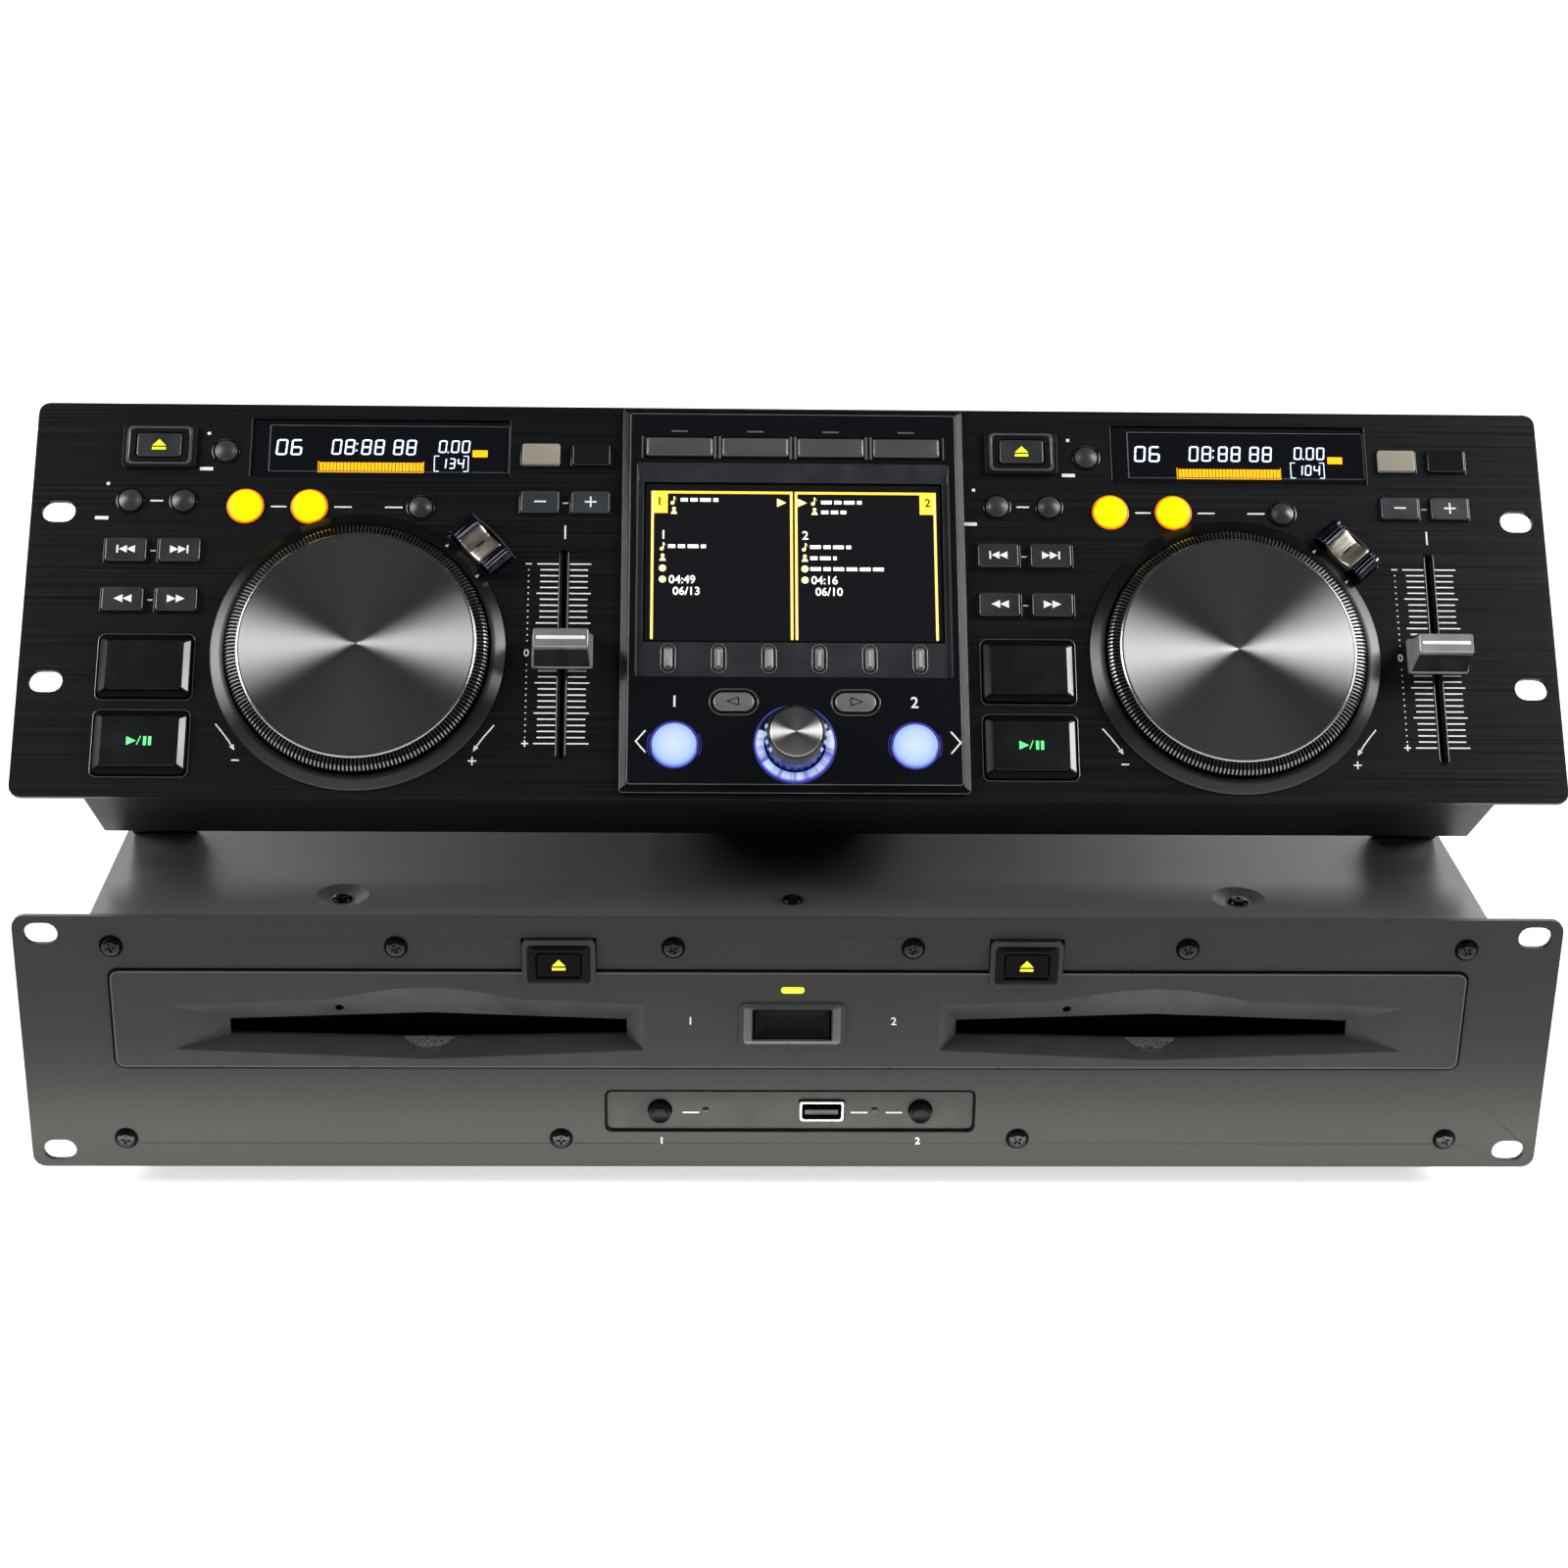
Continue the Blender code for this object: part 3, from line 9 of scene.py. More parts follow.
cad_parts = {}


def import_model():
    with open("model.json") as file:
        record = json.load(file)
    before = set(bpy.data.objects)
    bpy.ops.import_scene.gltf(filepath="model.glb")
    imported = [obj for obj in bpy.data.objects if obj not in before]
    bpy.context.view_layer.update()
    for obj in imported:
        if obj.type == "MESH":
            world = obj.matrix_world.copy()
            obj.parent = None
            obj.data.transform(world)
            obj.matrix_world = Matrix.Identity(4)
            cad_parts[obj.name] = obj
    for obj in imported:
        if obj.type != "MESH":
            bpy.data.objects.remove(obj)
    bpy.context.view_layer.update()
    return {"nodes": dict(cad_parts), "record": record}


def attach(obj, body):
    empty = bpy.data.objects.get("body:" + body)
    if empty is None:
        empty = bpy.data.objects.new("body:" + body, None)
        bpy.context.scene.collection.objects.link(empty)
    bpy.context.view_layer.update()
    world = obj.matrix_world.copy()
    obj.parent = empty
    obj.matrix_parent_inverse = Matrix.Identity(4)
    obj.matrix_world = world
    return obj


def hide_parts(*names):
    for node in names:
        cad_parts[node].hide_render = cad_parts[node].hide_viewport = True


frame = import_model()

mm = 0.001
panel_thickness = 2.0
sides = ("left", "right")


# ---------------------------------------------------------------- frames


def panel_frame(ear, name):
    """The middle of a rack panel's front face: x right, y up the panel, z out of it."""
    mount = next(mount for mount in frame["record"]["mounts"] if mount["name"] == ear)
    out = -Vector(mount["axis"]).normalized()
    right = Vector((1, 0, 0))
    turn = Matrix((right, out.cross(right), out)).transposed()
    node = frame["nodes"][name]
    points = [turn.inverted() @ (node.matrix_world @ vertex.co) for vertex in node.data.vertices]
    middle = [(min(point[i] for point in points) + max(point[i] for point in points)) / 2 for i in (0, 1)]
    face = Vector(mount["pos_m"]).dot(out) + panel_thickness * mm
    return Matrix.Translation(turn @ Vector((*middle, face))) @ turn.to_4x4()


drive = panel_frame("drive_ear_left", "drive_panel")
deck = panel_frame("controller_ear_left", "control_panel")


def at(base, x=0, y=0, z=0, turn=0, about="Z"):
    """A frame inside another one, in its millimetres."""
    return base @ Matrix.Translation(Vector((x, y, z)) * mm) @ Matrix.Rotation(turn, 4, about)


def local_box(name, base):
    """The lowest and highest corner of a CAD node in a frame, in millimetres."""
    turn = base.inverted()
    node = frame["nodes"][name]
    points = [turn @ (node.matrix_world @ vertex.co) / mm for vertex in node.data.vertices]
    low = Vector([min(point[i] for point in points) for i in range(3)])
    high = Vector([max(point[i] for point in points) for i in range(3)])
    return low, high


def top_of(name, base):
    return local_box(name, base)[1].z


# ---------------------------------------------------------------- outlines
# Each outline is a function of how far it is pushed out, so that a bevel keeps its form.


def rounded(width, height, radius, x=0, y=0, steps=4):
    def outline(out=0):
        reach = min(max(radius + out, 0.01), width / 2 + out, height / 2 + out)
        points = []
        for quarter, (side, rise) in enumerate(((1, 1), (-1, 1), (-1, -1), (1, -1))):
            cx, cy = x + side * (width / 2 + out - reach), y + rise * (height / 2 + out - reach)
            for step in range(steps + 1):
                angle = (quarter + step / steps) * pi / 2
                points.append((cx + reach * cos(angle), cy + reach * sin(angle)))
        return points
    return outline


def disc(radius, x=0, y=0, count=48):
    def outline(out=0):
        angles = [tau * step / count for step in range(count)]
        return [(x + (radius + out) * cos(angle), y + (radius + out) * sin(angle)) for angle in angles]
    return outline


# ---------------------------------------------------------------- forms


class Form:
    """Points and faces of one piece, in millimetres of its own frame."""

    def __init__(self):
        self.points, self.faces = [], []

    def add(self, points, faces):
        start = len(self.points)
        self.points += [tuple(point) for point in points]
        self.faces += [[start + i for i in face] for face in faces]
        return self

    def loft(self, loops, first=True, last=True, ring=False):
        """Faces between loops with one count. They face out where each loop turns left seen from the next."""
        count = len(loops[0])
        points = [point for loop in loops for point in loop]
        faces = []
        pairs = len(loops) if ring else len(loops) - 1
        for row in range(pairs):
            low, high = row * count, (row + 1) % len(loops) * count
            for i in range(count):
                j = (i + 1) % count
                faces.append((low + i, low + j, high + j, high + i))
        if first and not ring:
            faces.append(list(range(count))[::-1])
        if last and not ring:
            top = (len(loops) - 1) * count
            faces.append(list(range(top, top + count)))
        return self.add(points, faces)

    def stack(self, outline, profile, first=True, last=True):
        """An outline pushed out and raised along a profile of (out, height)."""
        return self.climb([(outline, out, z) for out, z in profile], first, last)

    def climb(self, steps, first=False, last=False):
        """Faces between outlines, each one given as (outline, out, height)."""
        return self.loft([[(x, y, z) for x, y in outline(out)] for outline, out, z in steps], first, last)

    def lathe(self, profile, count=96, x=0, y=0, ring=False):
        """A profile of (radius, height), turned about z. It goes up where the outside faces out."""
        loops = []
        for radius, z in profile:
            angles = [tau * step / count for step in range(count)]
            loops.append([(x + radius * cos(angle), y + radius * sin(angle), z) for angle in angles])
        return self.loft(loops, ring=ring)

    def plate(self, outline, low, high, edge=0.2, holes=(), back=True):
        """A flat plate with a small bevel all round it and round its holes."""
        bevel = [(0, low), (0, high - edge), (-0.3 * edge, high - 0.3 * edge), (-edge, high)]
        self.stack(outline, bevel, False, False)
        for hole in holes:
            loops = [[(x, y, z) for x, y in hole(-out)][::-1] for out, z in bevel]
            self.loft(loops, False, False)
        self.cap([outline(-edge)] + [hole(edge) for hole in holes], high)
        if back:
            self.cap([outline(0)] + [hole(0) for hole in holes], low, True)
        return self

    def cap(self, outlines, z, down=False):
        loops = [[Vector((x, y, 0)) for x, y in outline] for outline in outlines]
        points = [(point.x, point.y, z) for loop in loops for point in loop]
        faces = []
        for triangle in tessellate_polygon(loops):
            a, b, c = (Vector(points[i]) for i in triangle)
            up = (b - a).cross(c - a).z > 0
            faces.append(triangle if up != down else triangle[::-1])
        return self.add(points, faces)

    def box(self, size, middle=(0, 0, 0)):
        half = [side / 2 for side in size]
        loops = []
        for rise in (-1, 1):
            corners = ((1, 1), (-1, 1), (-1, -1), (1, -1))
            loops.append([(middle[0] + sx * half[0], middle[1] + sy * half[1], middle[2] + rise * half[2])
                          for sx, sy in corners])
        return self.loft(loops)

    def slab(self, points, low, high):
        """A thin raised mark with any outline that turns left."""
        return self.loft([[(x, y, z) for x, y in points] for z in (low, high)], first=False)

    def moved(self, matrix):
        """The same form through a matrix in millimetres."""
        return Form().add([matrix @ Vector(point) for point in self.points], self.faces)

    def join(self, other):
        return self.add(other.points, other.faces)


def shift(x=0, y=0, z=0, turn=0, about="Z"):
    return Matrix.Translation((x, y, z)) @ Matrix.Rotation(turn, 4, about)


pieces = {}


def piece(name, form, base, body, look, node=None, slot=None, angle=35):
    """One piece of the scene: its form in a frame, riding on a body. It may take the place of CAD nodes."""
    mesh = bpy.data.meshes.new(name)
    mesh.from_pydata([Vector(point) * mm for point in form.points], [], form.faces)
    mesh.validate()
    mesh.materials.append(look)
    obj = bpy.data.objects.new(name, mesh)
    bpy.context.scene.collection.objects.link(obj)
    obj.matrix_world = base
    mesh.shade_smooth()
    mesh.set_sharp_from_angle(angle=radians(angle))
    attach(obj, body)
    if node:
        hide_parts(*([node] if isinstance(node, str) else node))
    pieces[name] = obj
    return obj


def text_form(text, height, x=0, y=0, low=0, high=0.03, turn=0):
    """Plain numerals in the built-in typeface, middle at x, y."""
    curve = bpy.data.curves.new("numerals", "FONT")
    curve.body, curve.align_x, curve.align_y, curve.resolution_u = text, "CENTER", "CENTER", 4
    curve.offset = 0.012
    holder = bpy.data.objects.new("numerals", curve)
    mesh = holder.to_mesh()
    rises = [vertex.co.y for vertex in mesh.vertices]
    scale = height / (max(rises) - min(rises))
    middle = (max(rises) + min(rises)) / 2
    turned = shift(x, y, 0, turn)
    made = Form()
    points = [turned @ Vector((vertex.co.x * scale, (vertex.co.y - middle) * scale, high))
              for vertex in mesh.vertices]
    faces = [list(face.vertices) for face in mesh.polygons]
    made.add(points, faces)
    edges = {(a, face[(i + 1) % len(face)]): True for face in faces for i, a in enumerate(face)}
    for a, b in edges:
        if (b, a) not in edges:
            pa, pb = points[a], points[b]
            made.add([pa, (pa.x, pa.y, low), (pb.x, pb.y, low), pb], [(0, 1, 2, 3)])
    holder.to_mesh_clear()
    bpy.data.objects.remove(holder)
    bpy.data.curves.remove(curve)
    return made


def numbers(places, height, low, high):
    """Plain numbers, given as (text, x, y)."""
    form = Form()
    for text, x, y in places:
        form.join(text_form(text, height, x, y, low, high))
    return form


# ---------------------------------------------------------------- materials


class Look:
    """A material and the nodes that give it its grain."""

    def __init__(self, name, colour, rough, metal=0.0, **inputs):
        self.material = bpy.data.materials.new(name)
        self.material.use_nodes = True
        self.nodes, self.links = self.material.node_tree.nodes, self.material.node_tree.links
        self.shader = next(node for node in self.nodes if node.type == "BSDF_PRINCIPLED")
        self.colour, self.rough = colour, rough
        self.set("Base Color", (*colour, 1))
        self.set("Roughness", rough)
        self.set("Metallic", metal)
        for key, value in inputs.items():
            self.set(key.replace("_", " "), value)
        self.place = self.nodes.new("ShaderNodeTexCoord").outputs["Object"]
        self.height = None

    def set(self, key, value):
        self.shader.inputs[key].default_value = value

    def link(self, output, target):
        self.links.new(output, target)

    def stretched(self, scale, turn=(0, 0, 0)):
        mapping = self.nodes.new("ShaderNodeMapping")
        mapping.inputs["Scale"].default_value = scale
        mapping.inputs["Rotation"].default_value = turn
        self.link(self.place, mapping.inputs["Vector"])
        return mapping.outputs["Vector"]

    def noise(self, scale, detail=2.0, vector=None, roughness=0.5):
        texture = self.nodes.new("ShaderNodeTexNoise")
        texture.inputs["Scale"].default_value = scale
        texture.inputs["Detail"].default_value = detail
        texture.inputs["Roughness"].default_value = roughness
        self.link(self.place if vector is None else vector, texture.inputs["Vector"])
        return texture.outputs["Fac"]

    def ramp(self, value, low, high, start=0.3, end=0.7):
        """A value from start to end, spread from low to high."""
        spread = self.nodes.new("ShaderNodeMapRange")
        for key, number in (("From Min", start), ("From Max", end), ("To Min", low), ("To Max", high)):
            spread.inputs[key].default_value = number
        self.link(value, spread.inputs["Value"])
        return spread.outputs["Result"]

    def mixed(self, first, second, factor=1.0, blend="MIX"):
        """The output between two colours, each of them a value or another node's output."""
        mix = self.nodes.new("ShaderNodeMix")
        mix.data_type, mix.blend_type = "RGBA", blend
        for key, value in (("A", first), ("B", second), ("Factor", factor)):
            if isinstance(value, bpy.types.NodeSocket):
                self.link(value, mix.inputs[key])
            else:
                mix.inputs[key].default_value = value
        return next(output for output in mix.outputs if output.type == "RGBA")

    def tint(self, value, low, high):
        """The colour runs between two shares of its own, as the value says."""
        ends = [(*[share * part for share in self.colour], 1) for part in (low, high)]
        self.link(self.mixed(*ends, self.ramp(value, 0, 1)), self.shader.inputs["Base Color"])
        return self

    def patchy(self, value, spread):
        self.link(self.ramp(value, self.rough - spread, self.rough + spread),
                  self.shader.inputs["Roughness"])
        return self

    def bump(self, value, distance, strength=1.0):
        bump = self.nodes.new("ShaderNodeBump")
        bump.inputs["Strength"].default_value = strength
        bump.inputs["Distance"].default_value = distance * mm
        self.link(value, bump.inputs["Height"])
        if self.height is not None:
            self.link(self.height, bump.inputs["Normal"])
        self.height = bump.outputs["Normal"]
        self.link(self.height, self.shader.inputs["Normal"])
        return self

    def spin(self):
        """The fine turned grain runs round the piece's own z axis."""
        tangent = self.nodes.new("ShaderNodeTangent")
        tangent.direction_type, tangent.axis = "RADIAL", "Z"
        self.link(tangent.outputs["Tangent"], self.shader.inputs["Tangent"])
        return self

    def flattened(self, operation):
        flat, made = self.nodes.new("ShaderNodeVectorMath"), self.nodes.new("ShaderNodeVectorMath")
        flat.operation, made.operation = "MULTIPLY", operation
        flat.inputs[1].default_value = (1, 1, 0)
        self.link(self.place, flat.inputs[0])
        self.link(flat.outputs["Vector"], made.inputs[0])
        return made

    def middle_distance(self):
        """How far a point is from the piece's own z axis, in metres."""
        return self.flattened("LENGTH").outputs["Value"]

    def around(self, scale):
        """The direction from the z axis, so that a texture only changes round it."""
        way = self.flattened("NORMALIZE")
        scaled = self.nodes.new("ShaderNodeVectorMath")
        scaled.operation = "SCALE"
        scaled.inputs["Scale"].default_value = scale / 6
        self.link(way.outputs["Vector"], scaled.inputs[0])
        return scaled.outputs["Vector"]

    def rings(self, pitch):
        """Grooves round the z axis, at a pitch in millimetres."""
        joined = self.nodes.new("ShaderNodeCombineXYZ")
        self.link(self.middle_distance(), joined.inputs["X"])
        return self.noise(1 / (pitch * mm), 3.0, joined.outputs["Vector"], 0.7)

    def done(self):
        return self.material


def srgb(red, green, blue):
    """A colour as it looks, from 0 to 255, in the scene's own linear values."""
    made = []
    for value in (red, green, blue):
        share = value / 255
        made.append(share / 12.92 if share <= 0.04045 else ((share + 0.055) / 1.055) ** 2.4)
    return tuple(made)


def plastic(name, colour, rough, grain=0.0, pitch=0.3, **inputs):
    """Moulded plastic: a little uneven in gloss, with a fine grain where it is satin."""
    look = Look(name, colour, rough, **inputs)
    look.tint(look.noise(30, 3), 0.92, 1.08).patchy(look.noise(120, 3), 0.25 * rough)
    if grain:
        look.bump(look.noise(1 / (pitch * mm), 2), grain)
    return look.done()


def painted(name, colour, rough, grain, pitch, **inputs):
    """Baked paint with a fine orange-peel texture."""
    look = Look(name, colour, rough, **inputs)
    fine = look.noise(1 / (pitch * mm), 3, roughness=0.65)
    look.tint(fine, 0.84, 1.16).patchy(look.noise(9, 4), 0.06)
    return look.bump(fine, grain).done()


def brushed(name, colour, rough, metal, **inputs):
    """Hairline-finished metal, its grain along x."""
    look = Look(name, colour, rough, metal, **inputs)
    grain = look.noise(1, 5, look.stretched((6, 2300, 2300)), 0.8)
    look.tint(grain, 0.05, 2.7).patchy(grain, 0.09)
    return look.bump(grain, 0.010).done()


def spun(name, colour, rough, pitch=0.25, grain=0.004, **inputs):
    """Metal turned on a lathe: its highlights are cones from the middle."""
    look = Look(name, colour, rough, 1.0, **inputs).spin()
    ring = look.rings(pitch)
    look.tint(ring, 0.86, 1.1).patchy(ring, 0.03)
    return look.bump(ring, grain).done()


def lit(name, colour, strength, base=None, rough=0.3, **inputs):
    """Something with a lamp behind it."""
    look = Look(name, base or colour, rough, Emission_Strength=strength, Emission_Color=(*colour, 1),
                **inputs)
    look.patchy(look.noise(200, 2), 0.05)
    return look.done()


def glowing(name, stops, strength, flutes=0):
    """A lamp whose colour changes outwards from its middle, at stops in metres, with streaks if fluted."""
    look = Look(name, srgb(60, 66, 90), 0.3)
    ramp = look.nodes.new("ShaderNodeValToRGB")
    first, last = stops[0][0], stops[-1][0]
    look.link(look.ramp(look.middle_distance(), 0, 1, first, last), ramp.inputs["Fac"])
    points = ramp.color_ramp.elements
    while len(points) < len(stops):
        points.new(0.5)
    for point, (place, colour) in zip(points, stops):
        point.position, point.color = (place - first) / (last - first), (*colour, 1)
    look.set("Emission Strength", strength)
    glow = ramp.outputs["Color"]
    if flutes:
        tone = look.nodes.new("ShaderNodeValToRGB")
        for stop, place, colour in zip(tone.color_ramp.elements, (0.36, 0.6),
                                       ((0.12, 0.12, 0.5, 1), (1, 1, 1, 1))):
            stop.position, stop.color = place, colour
        look.link(look.noise(1, 2, look.around(flutes), 0.6), tone.inputs["Fac"])
        glow = look.mixed(glow, tone.outputs["Color"], blend="MULTIPLY")
    look.link(glow, look.shader.inputs["Emission Color"])
    return look.patchy(look.noise(200, 2), 0.04).done()


panel_black = brushed("panel_black", srgb(12, 13, 15), 0.36, 0.0, Specular_IOR_Level=0.3)
console_gloss = plastic("console_gloss", srgb(13, 14, 18), 0.13, Coat_Weight=0.3, Coat_Roughness=0.05)
console_edge = plastic("console_edge", srgb(14, 15, 17), 0.2, Specular_IOR_Level=0.12)
console_satin = plastic("console_satin", srgb(40, 42, 46), 0.42, 0.012, 0.25)
# Light grey of the dividers, frames and rims, also painted highlights on the console's edges.
divider_and_highlight_grey = plastic("divider_and_highlight_grey", srgb(120, 121, 123), 0.34, Metallic=0.4)
tab_grey = plastic("tab_grey", srgb(92, 92, 92), 0.36, 0.008, 0.25, Metallic=0.35)
pill_metal = plastic("pill_metal", srgb(84, 84, 83), 0.5, Metallic=0.3)
menu_face = plastic("menu_face", srgb(140, 140, 138), 0.36, Metallic=0.5)
# The colour of the painted highlight on the soft keys' pills.
pill_highlight_silver = plastic("pill_highlight_silver", srgb(186, 186, 184), 0.34, Metallic=0.3)
key_grey = plastic("key_grey", srgb(50, 53, 56), 0.42, 0.012, 0.22, Coat_Weight=0.5, Coat_Roughness=0.18)
key_lit = plastic("key_lit", srgb(152, 146, 132), 0.45, 0.01, 0.22)
key_gloss = plastic("key_gloss", srgb(22, 22, 23), 0.17, Coat_Weight=0.25, Coat_Roughness=0.06)
key_jet = plastic("key_jet", srgb(11, 11, 12), 0.3, Specular_IOR_Level=0.06)
face_black = plastic("face_black", srgb(22, 23, 25), 0.3, 0.006, 0.3, Specular_IOR_Level=0.3)
key_face = plastic("key_face", srgb(42, 44, 46), 0.36, 0.006, 0.3, Coat_Weight=0.5, Coat_Roughness=0.16)
frame_gloss = plastic("frame_gloss", srgb(78, 79, 79), 0.26, Coat_Weight=0.7, Coat_Roughness=0.12)
round_grey = plastic("round_grey", srgb(66, 63, 62), 0.4, 0.006, 0.2, Metallic=0.35)
ring_dark = plastic("ring_dark", srgb(12, 12, 13), 0.14, Coat_Weight=0.8, Coat_Roughness=0.06)
# Near-black with almost no gloss, for printed marks and as painted shade in gaps and recesses.
print_and_shade_black = plastic("print_and_shade_black", srgb(5, 5, 6), 0.6, Specular_IOR_Level=0.05)
platter_metal = spun("platter_metal", srgb(158, 158, 157), 0.34, Anisotropic=1.0,
                     Anisotropic_Rotation=0.25)
knurl_metal = plastic("knurl_metal", srgb(128, 128, 128), 0.3, Metallic=1.0)
bezel_metal = spun("bezel_metal", srgb(80, 80, 80), 0.38, 0.4, 0.003, Anisotropic=0.9,
                   Anisotropic_Rotation=0.25)
rim_metal = spun("rim_metal", srgb(172, 172, 170), 0.26, Anisotropic=0.6, Anisotropic_Rotation=0.25)
chrome_dark = plastic("chrome_dark", srgb(84, 86, 98), 0.12, Metallic=1.0)
chrome_warm = plastic("chrome_warm", srgb(176, 168, 154), 0.4, 0.03, 0.4, Metallic=1.0)
fader_silver = plastic("fader_silver", srgb(166, 166, 166), 0.36, Metallic=0.6)
fader_face = plastic("fader_face", srgb(36, 39, 42), 0.4, Specular_IOR_Level=0.2)
selector_metal = spun("selector_metal", srgb(178, 176, 174), 0.46, Anisotropic=1.0,
                      Anisotropic_Rotation=0.25)
selector_black = plastic("selector_black", srgb(16, 16, 20), 0.2)
selector_clear = Look("selector_clear", srgb(24, 28, 84), 0.12, Transmission_Weight=0.4, IOR=1.45,
                      Emission_Color=(*srgb(44, 50, 150), 1), Emission_Strength=0.3)
selector_clear = selector_clear.patchy(selector_clear.noise(300, 2), 0.04).done()
paint_white = plastic("paint_white", srgb(250, 250, 248), 0.5)
lamp_yellow = lit("lamp_yellow", srgb(255, 216, 0), 1.0, rough=0.25)
lamp_orange = lit("lamp_orange", srgb(236, 112, 4), 0.6)
lamp_blue = lit("lamp_blue", srgb(168, 196, 252), 0.75, srgb(120, 140, 190))
load_glow = glowing("load_glow", ((0.0, srgb(222, 238, 252)), (0.0045, srgb(198, 222, 252)),
                                  (0.0064, srgb(168, 200, 250)),
                                  (0.007, srgb(110, 134, 230))), 0.95)
skirt_glow = glowing("skirt_glow", ((0.0096, srgb(150, 172, 250)), (0.0106, srgb(206, 222, 254)),
                                    (0.0115, srgb(222, 234, 254)),
                                    (0.0120, srgb(136, 156, 248)), (0.0123, srgb(60, 66, 190))), 0.95, 22)
lamp_violet = lit("lamp_violet", srgb(58, 56, 150), 0.45)
lamp_green = lit("lamp_green", srgb(96, 232, 132), 0.9)
lamp_lime = lit("lamp_lime", srgb(226, 236, 40), 0.95)
lamp_off = plastic("lamp_off", srgb(54, 50, 47), 0.3)
icon_yellow = lit("icon_yellow", srgb(226, 214, 36), 0.85)
lcd_white = lit("lcd_white", srgb(214, 226, 255), 1.0)
lcd_amber = lit("lcd_amber", srgb(250, 168, 16), 1.0)
screen_black = Look("screen_black", srgb(22, 23, 26), 0.16, Coat_Weight=0.3, Coat_Roughness=0.04)
screen_black = screen_black.patchy(screen_black.noise(60, 2), 0.02).done()
screen_white = lit("screen_white", srgb(250, 248, 242), 1.05)
screen_amber = lit("screen_amber", srgb(255, 196, 64), 1.0)
screen_pale = lit("screen_pale", srgb(255, 236, 164), 1.0)
case_paint = painted("case_paint", srgb(74, 73, 71), 0.4, 0.015, 0.35, Specular_IOR_Level=0.4)
housing_paint = painted("housing_paint", srgb(15, 15, 16), 0.45, 0.015, 0.35, Specular_IOR_Level=0.3)
bracket_paint = painted("bracket_paint", srgb(22, 22, 23), 0.45, 0.015, 0.35)
panel_paint = painted("panel_paint", srgb(58, 59, 58), 0.42, 0.014, 0.3, Specular_IOR_Level=0.15)
fascia_plastic = plastic("fascia_plastic", srgb(56, 57, 56), 0.4, 0.012, 0.25, Specular_IOR_Level=0.2)
inset_plastic = plastic("inset_plastic", srgb(54, 55, 54), 0.4, 0.012, 0.25, Specular_IOR_Level=0.2)
drive_gloss = plastic("drive_gloss", srgb(14, 14, 15), 0.2, Specular_IOR_Level=0.08)
# Light grey of the bezels and rings, also painted highlights along the fascia's edge and the finger notches.
bezel_and_highlight_grey = plastic("bezel_and_highlight_grey", srgb(84, 85, 84), 0.32, 0.008, 0.25, Metallic=0.3)
loader_black = plastic("loader_black", srgb(12, 12, 12), 0.55, 0.01, 0.3)
felt_black = Look("felt_black", srgb(40, 41, 42), 0.9)
felt_black = felt_black.tint(felt_black.noise(1700, 2), 0.1, 9.0)
felt_black = felt_black.bump(felt_black.noise(2200, 2), 0.08).done()
rubber = plastic("rubber", srgb(24, 24, 24), 0.75, 0.03, 0.5)
screw_black = plastic("screw_black", srgb(44, 44, 45), 0.2, Metallic=0.9)
zinc = plastic("zinc", srgb(188, 190, 190), 0.24, Metallic=1.0)
socket_metal = brushed("socket_metal", srgb(206, 206, 202), 0.22, 1.0)
jack_white = plastic("jack_white", srgb(222, 222, 218), 0.4)
jack_red = plastic("jack_red", srgb(176, 30, 28), 0.4)
jack_gold = plastic("jack_gold", srgb(196, 160, 84), 0.24, Metallic=1.0)
board_green = plastic("board_green", srgb(34, 74, 44), 0.4)
# Black plastic of the socket inserts and the USB tongue, also used as painted shade inside the USB socket.
black_plastic_and_shade = plastic("black_plastic_and_shade", srgb(16, 16, 16), 0.4)


# ---------------------------------------------------------------- marks

mark_low, mark_high = -0.02, 0.03


def bar(x, y, width, height):
    half_width, half_height = width / 2, height / 2
    return [(x + half_width, y + half_height), (x - half_width, y + half_height),
            (x - half_width, y - half_height), (x + half_width, y - half_height)]


def arrowhead(x, y, size, turn=0.0, wide=1.0):
    """A triangle that points along +x before it is turned."""
    points = [(0.5, 0), (-0.5, 0.5 * wide), (-0.5, -0.5 * wide)]
    return [(x + size * (a * cos(turn) - b * sin(turn)), y + size * (a * sin(turn) + b * cos(turn)))
            for a, b in points]


def dot(x, y, radius, count=12):
    return disc(radius, x, y, count)(0)


def stroke(points, width):
    """A line with square ends through some points, as one outline."""
    left, right = [], []
    for i, point in enumerate(points):
        here = Vector(point)
        ahead = Vector(points[min(i + 1, len(points) - 1)]) - here
        behind = here - Vector(points[max(i - 1, 0)])
        ways = [way.normalized() for way in (ahead, behind) if way.length > 0]
        along = sum(ways, Vector((0, 0))).normalized()
        side = Vector((-along.y, along.x)) * width / 2 / max(along.dot(ways[0]), 0.3)
        left.append(tuple(here + side))
        right.append(tuple(here - side))
    return right + left[::-1]


def arc_stroke(radius, start, end, width, x=0, y=0, count=12):
    angles = [radians(start + (end - start) * step / count) for step in range(count + 1)]
    return stroke([(x + radius * cos(angle), y + radius * sin(angle)) for angle in angles], width)


def marked(outlines, low=mark_low, high=mark_high):
    form = Form()
    for outline in outlines:
        form.slab(outline, low, high)
    return form


def minus(x, y, size, width):
    return [bar(x, y, size, width)]


def plus(x, y, size, width):
    side = (size - width) / 4 + width / 2
    arm = (size - width) / 2
    return [bar(x, y, size, width), bar(x, y + side, width, arm), bar(x, y - side, width, arm)]


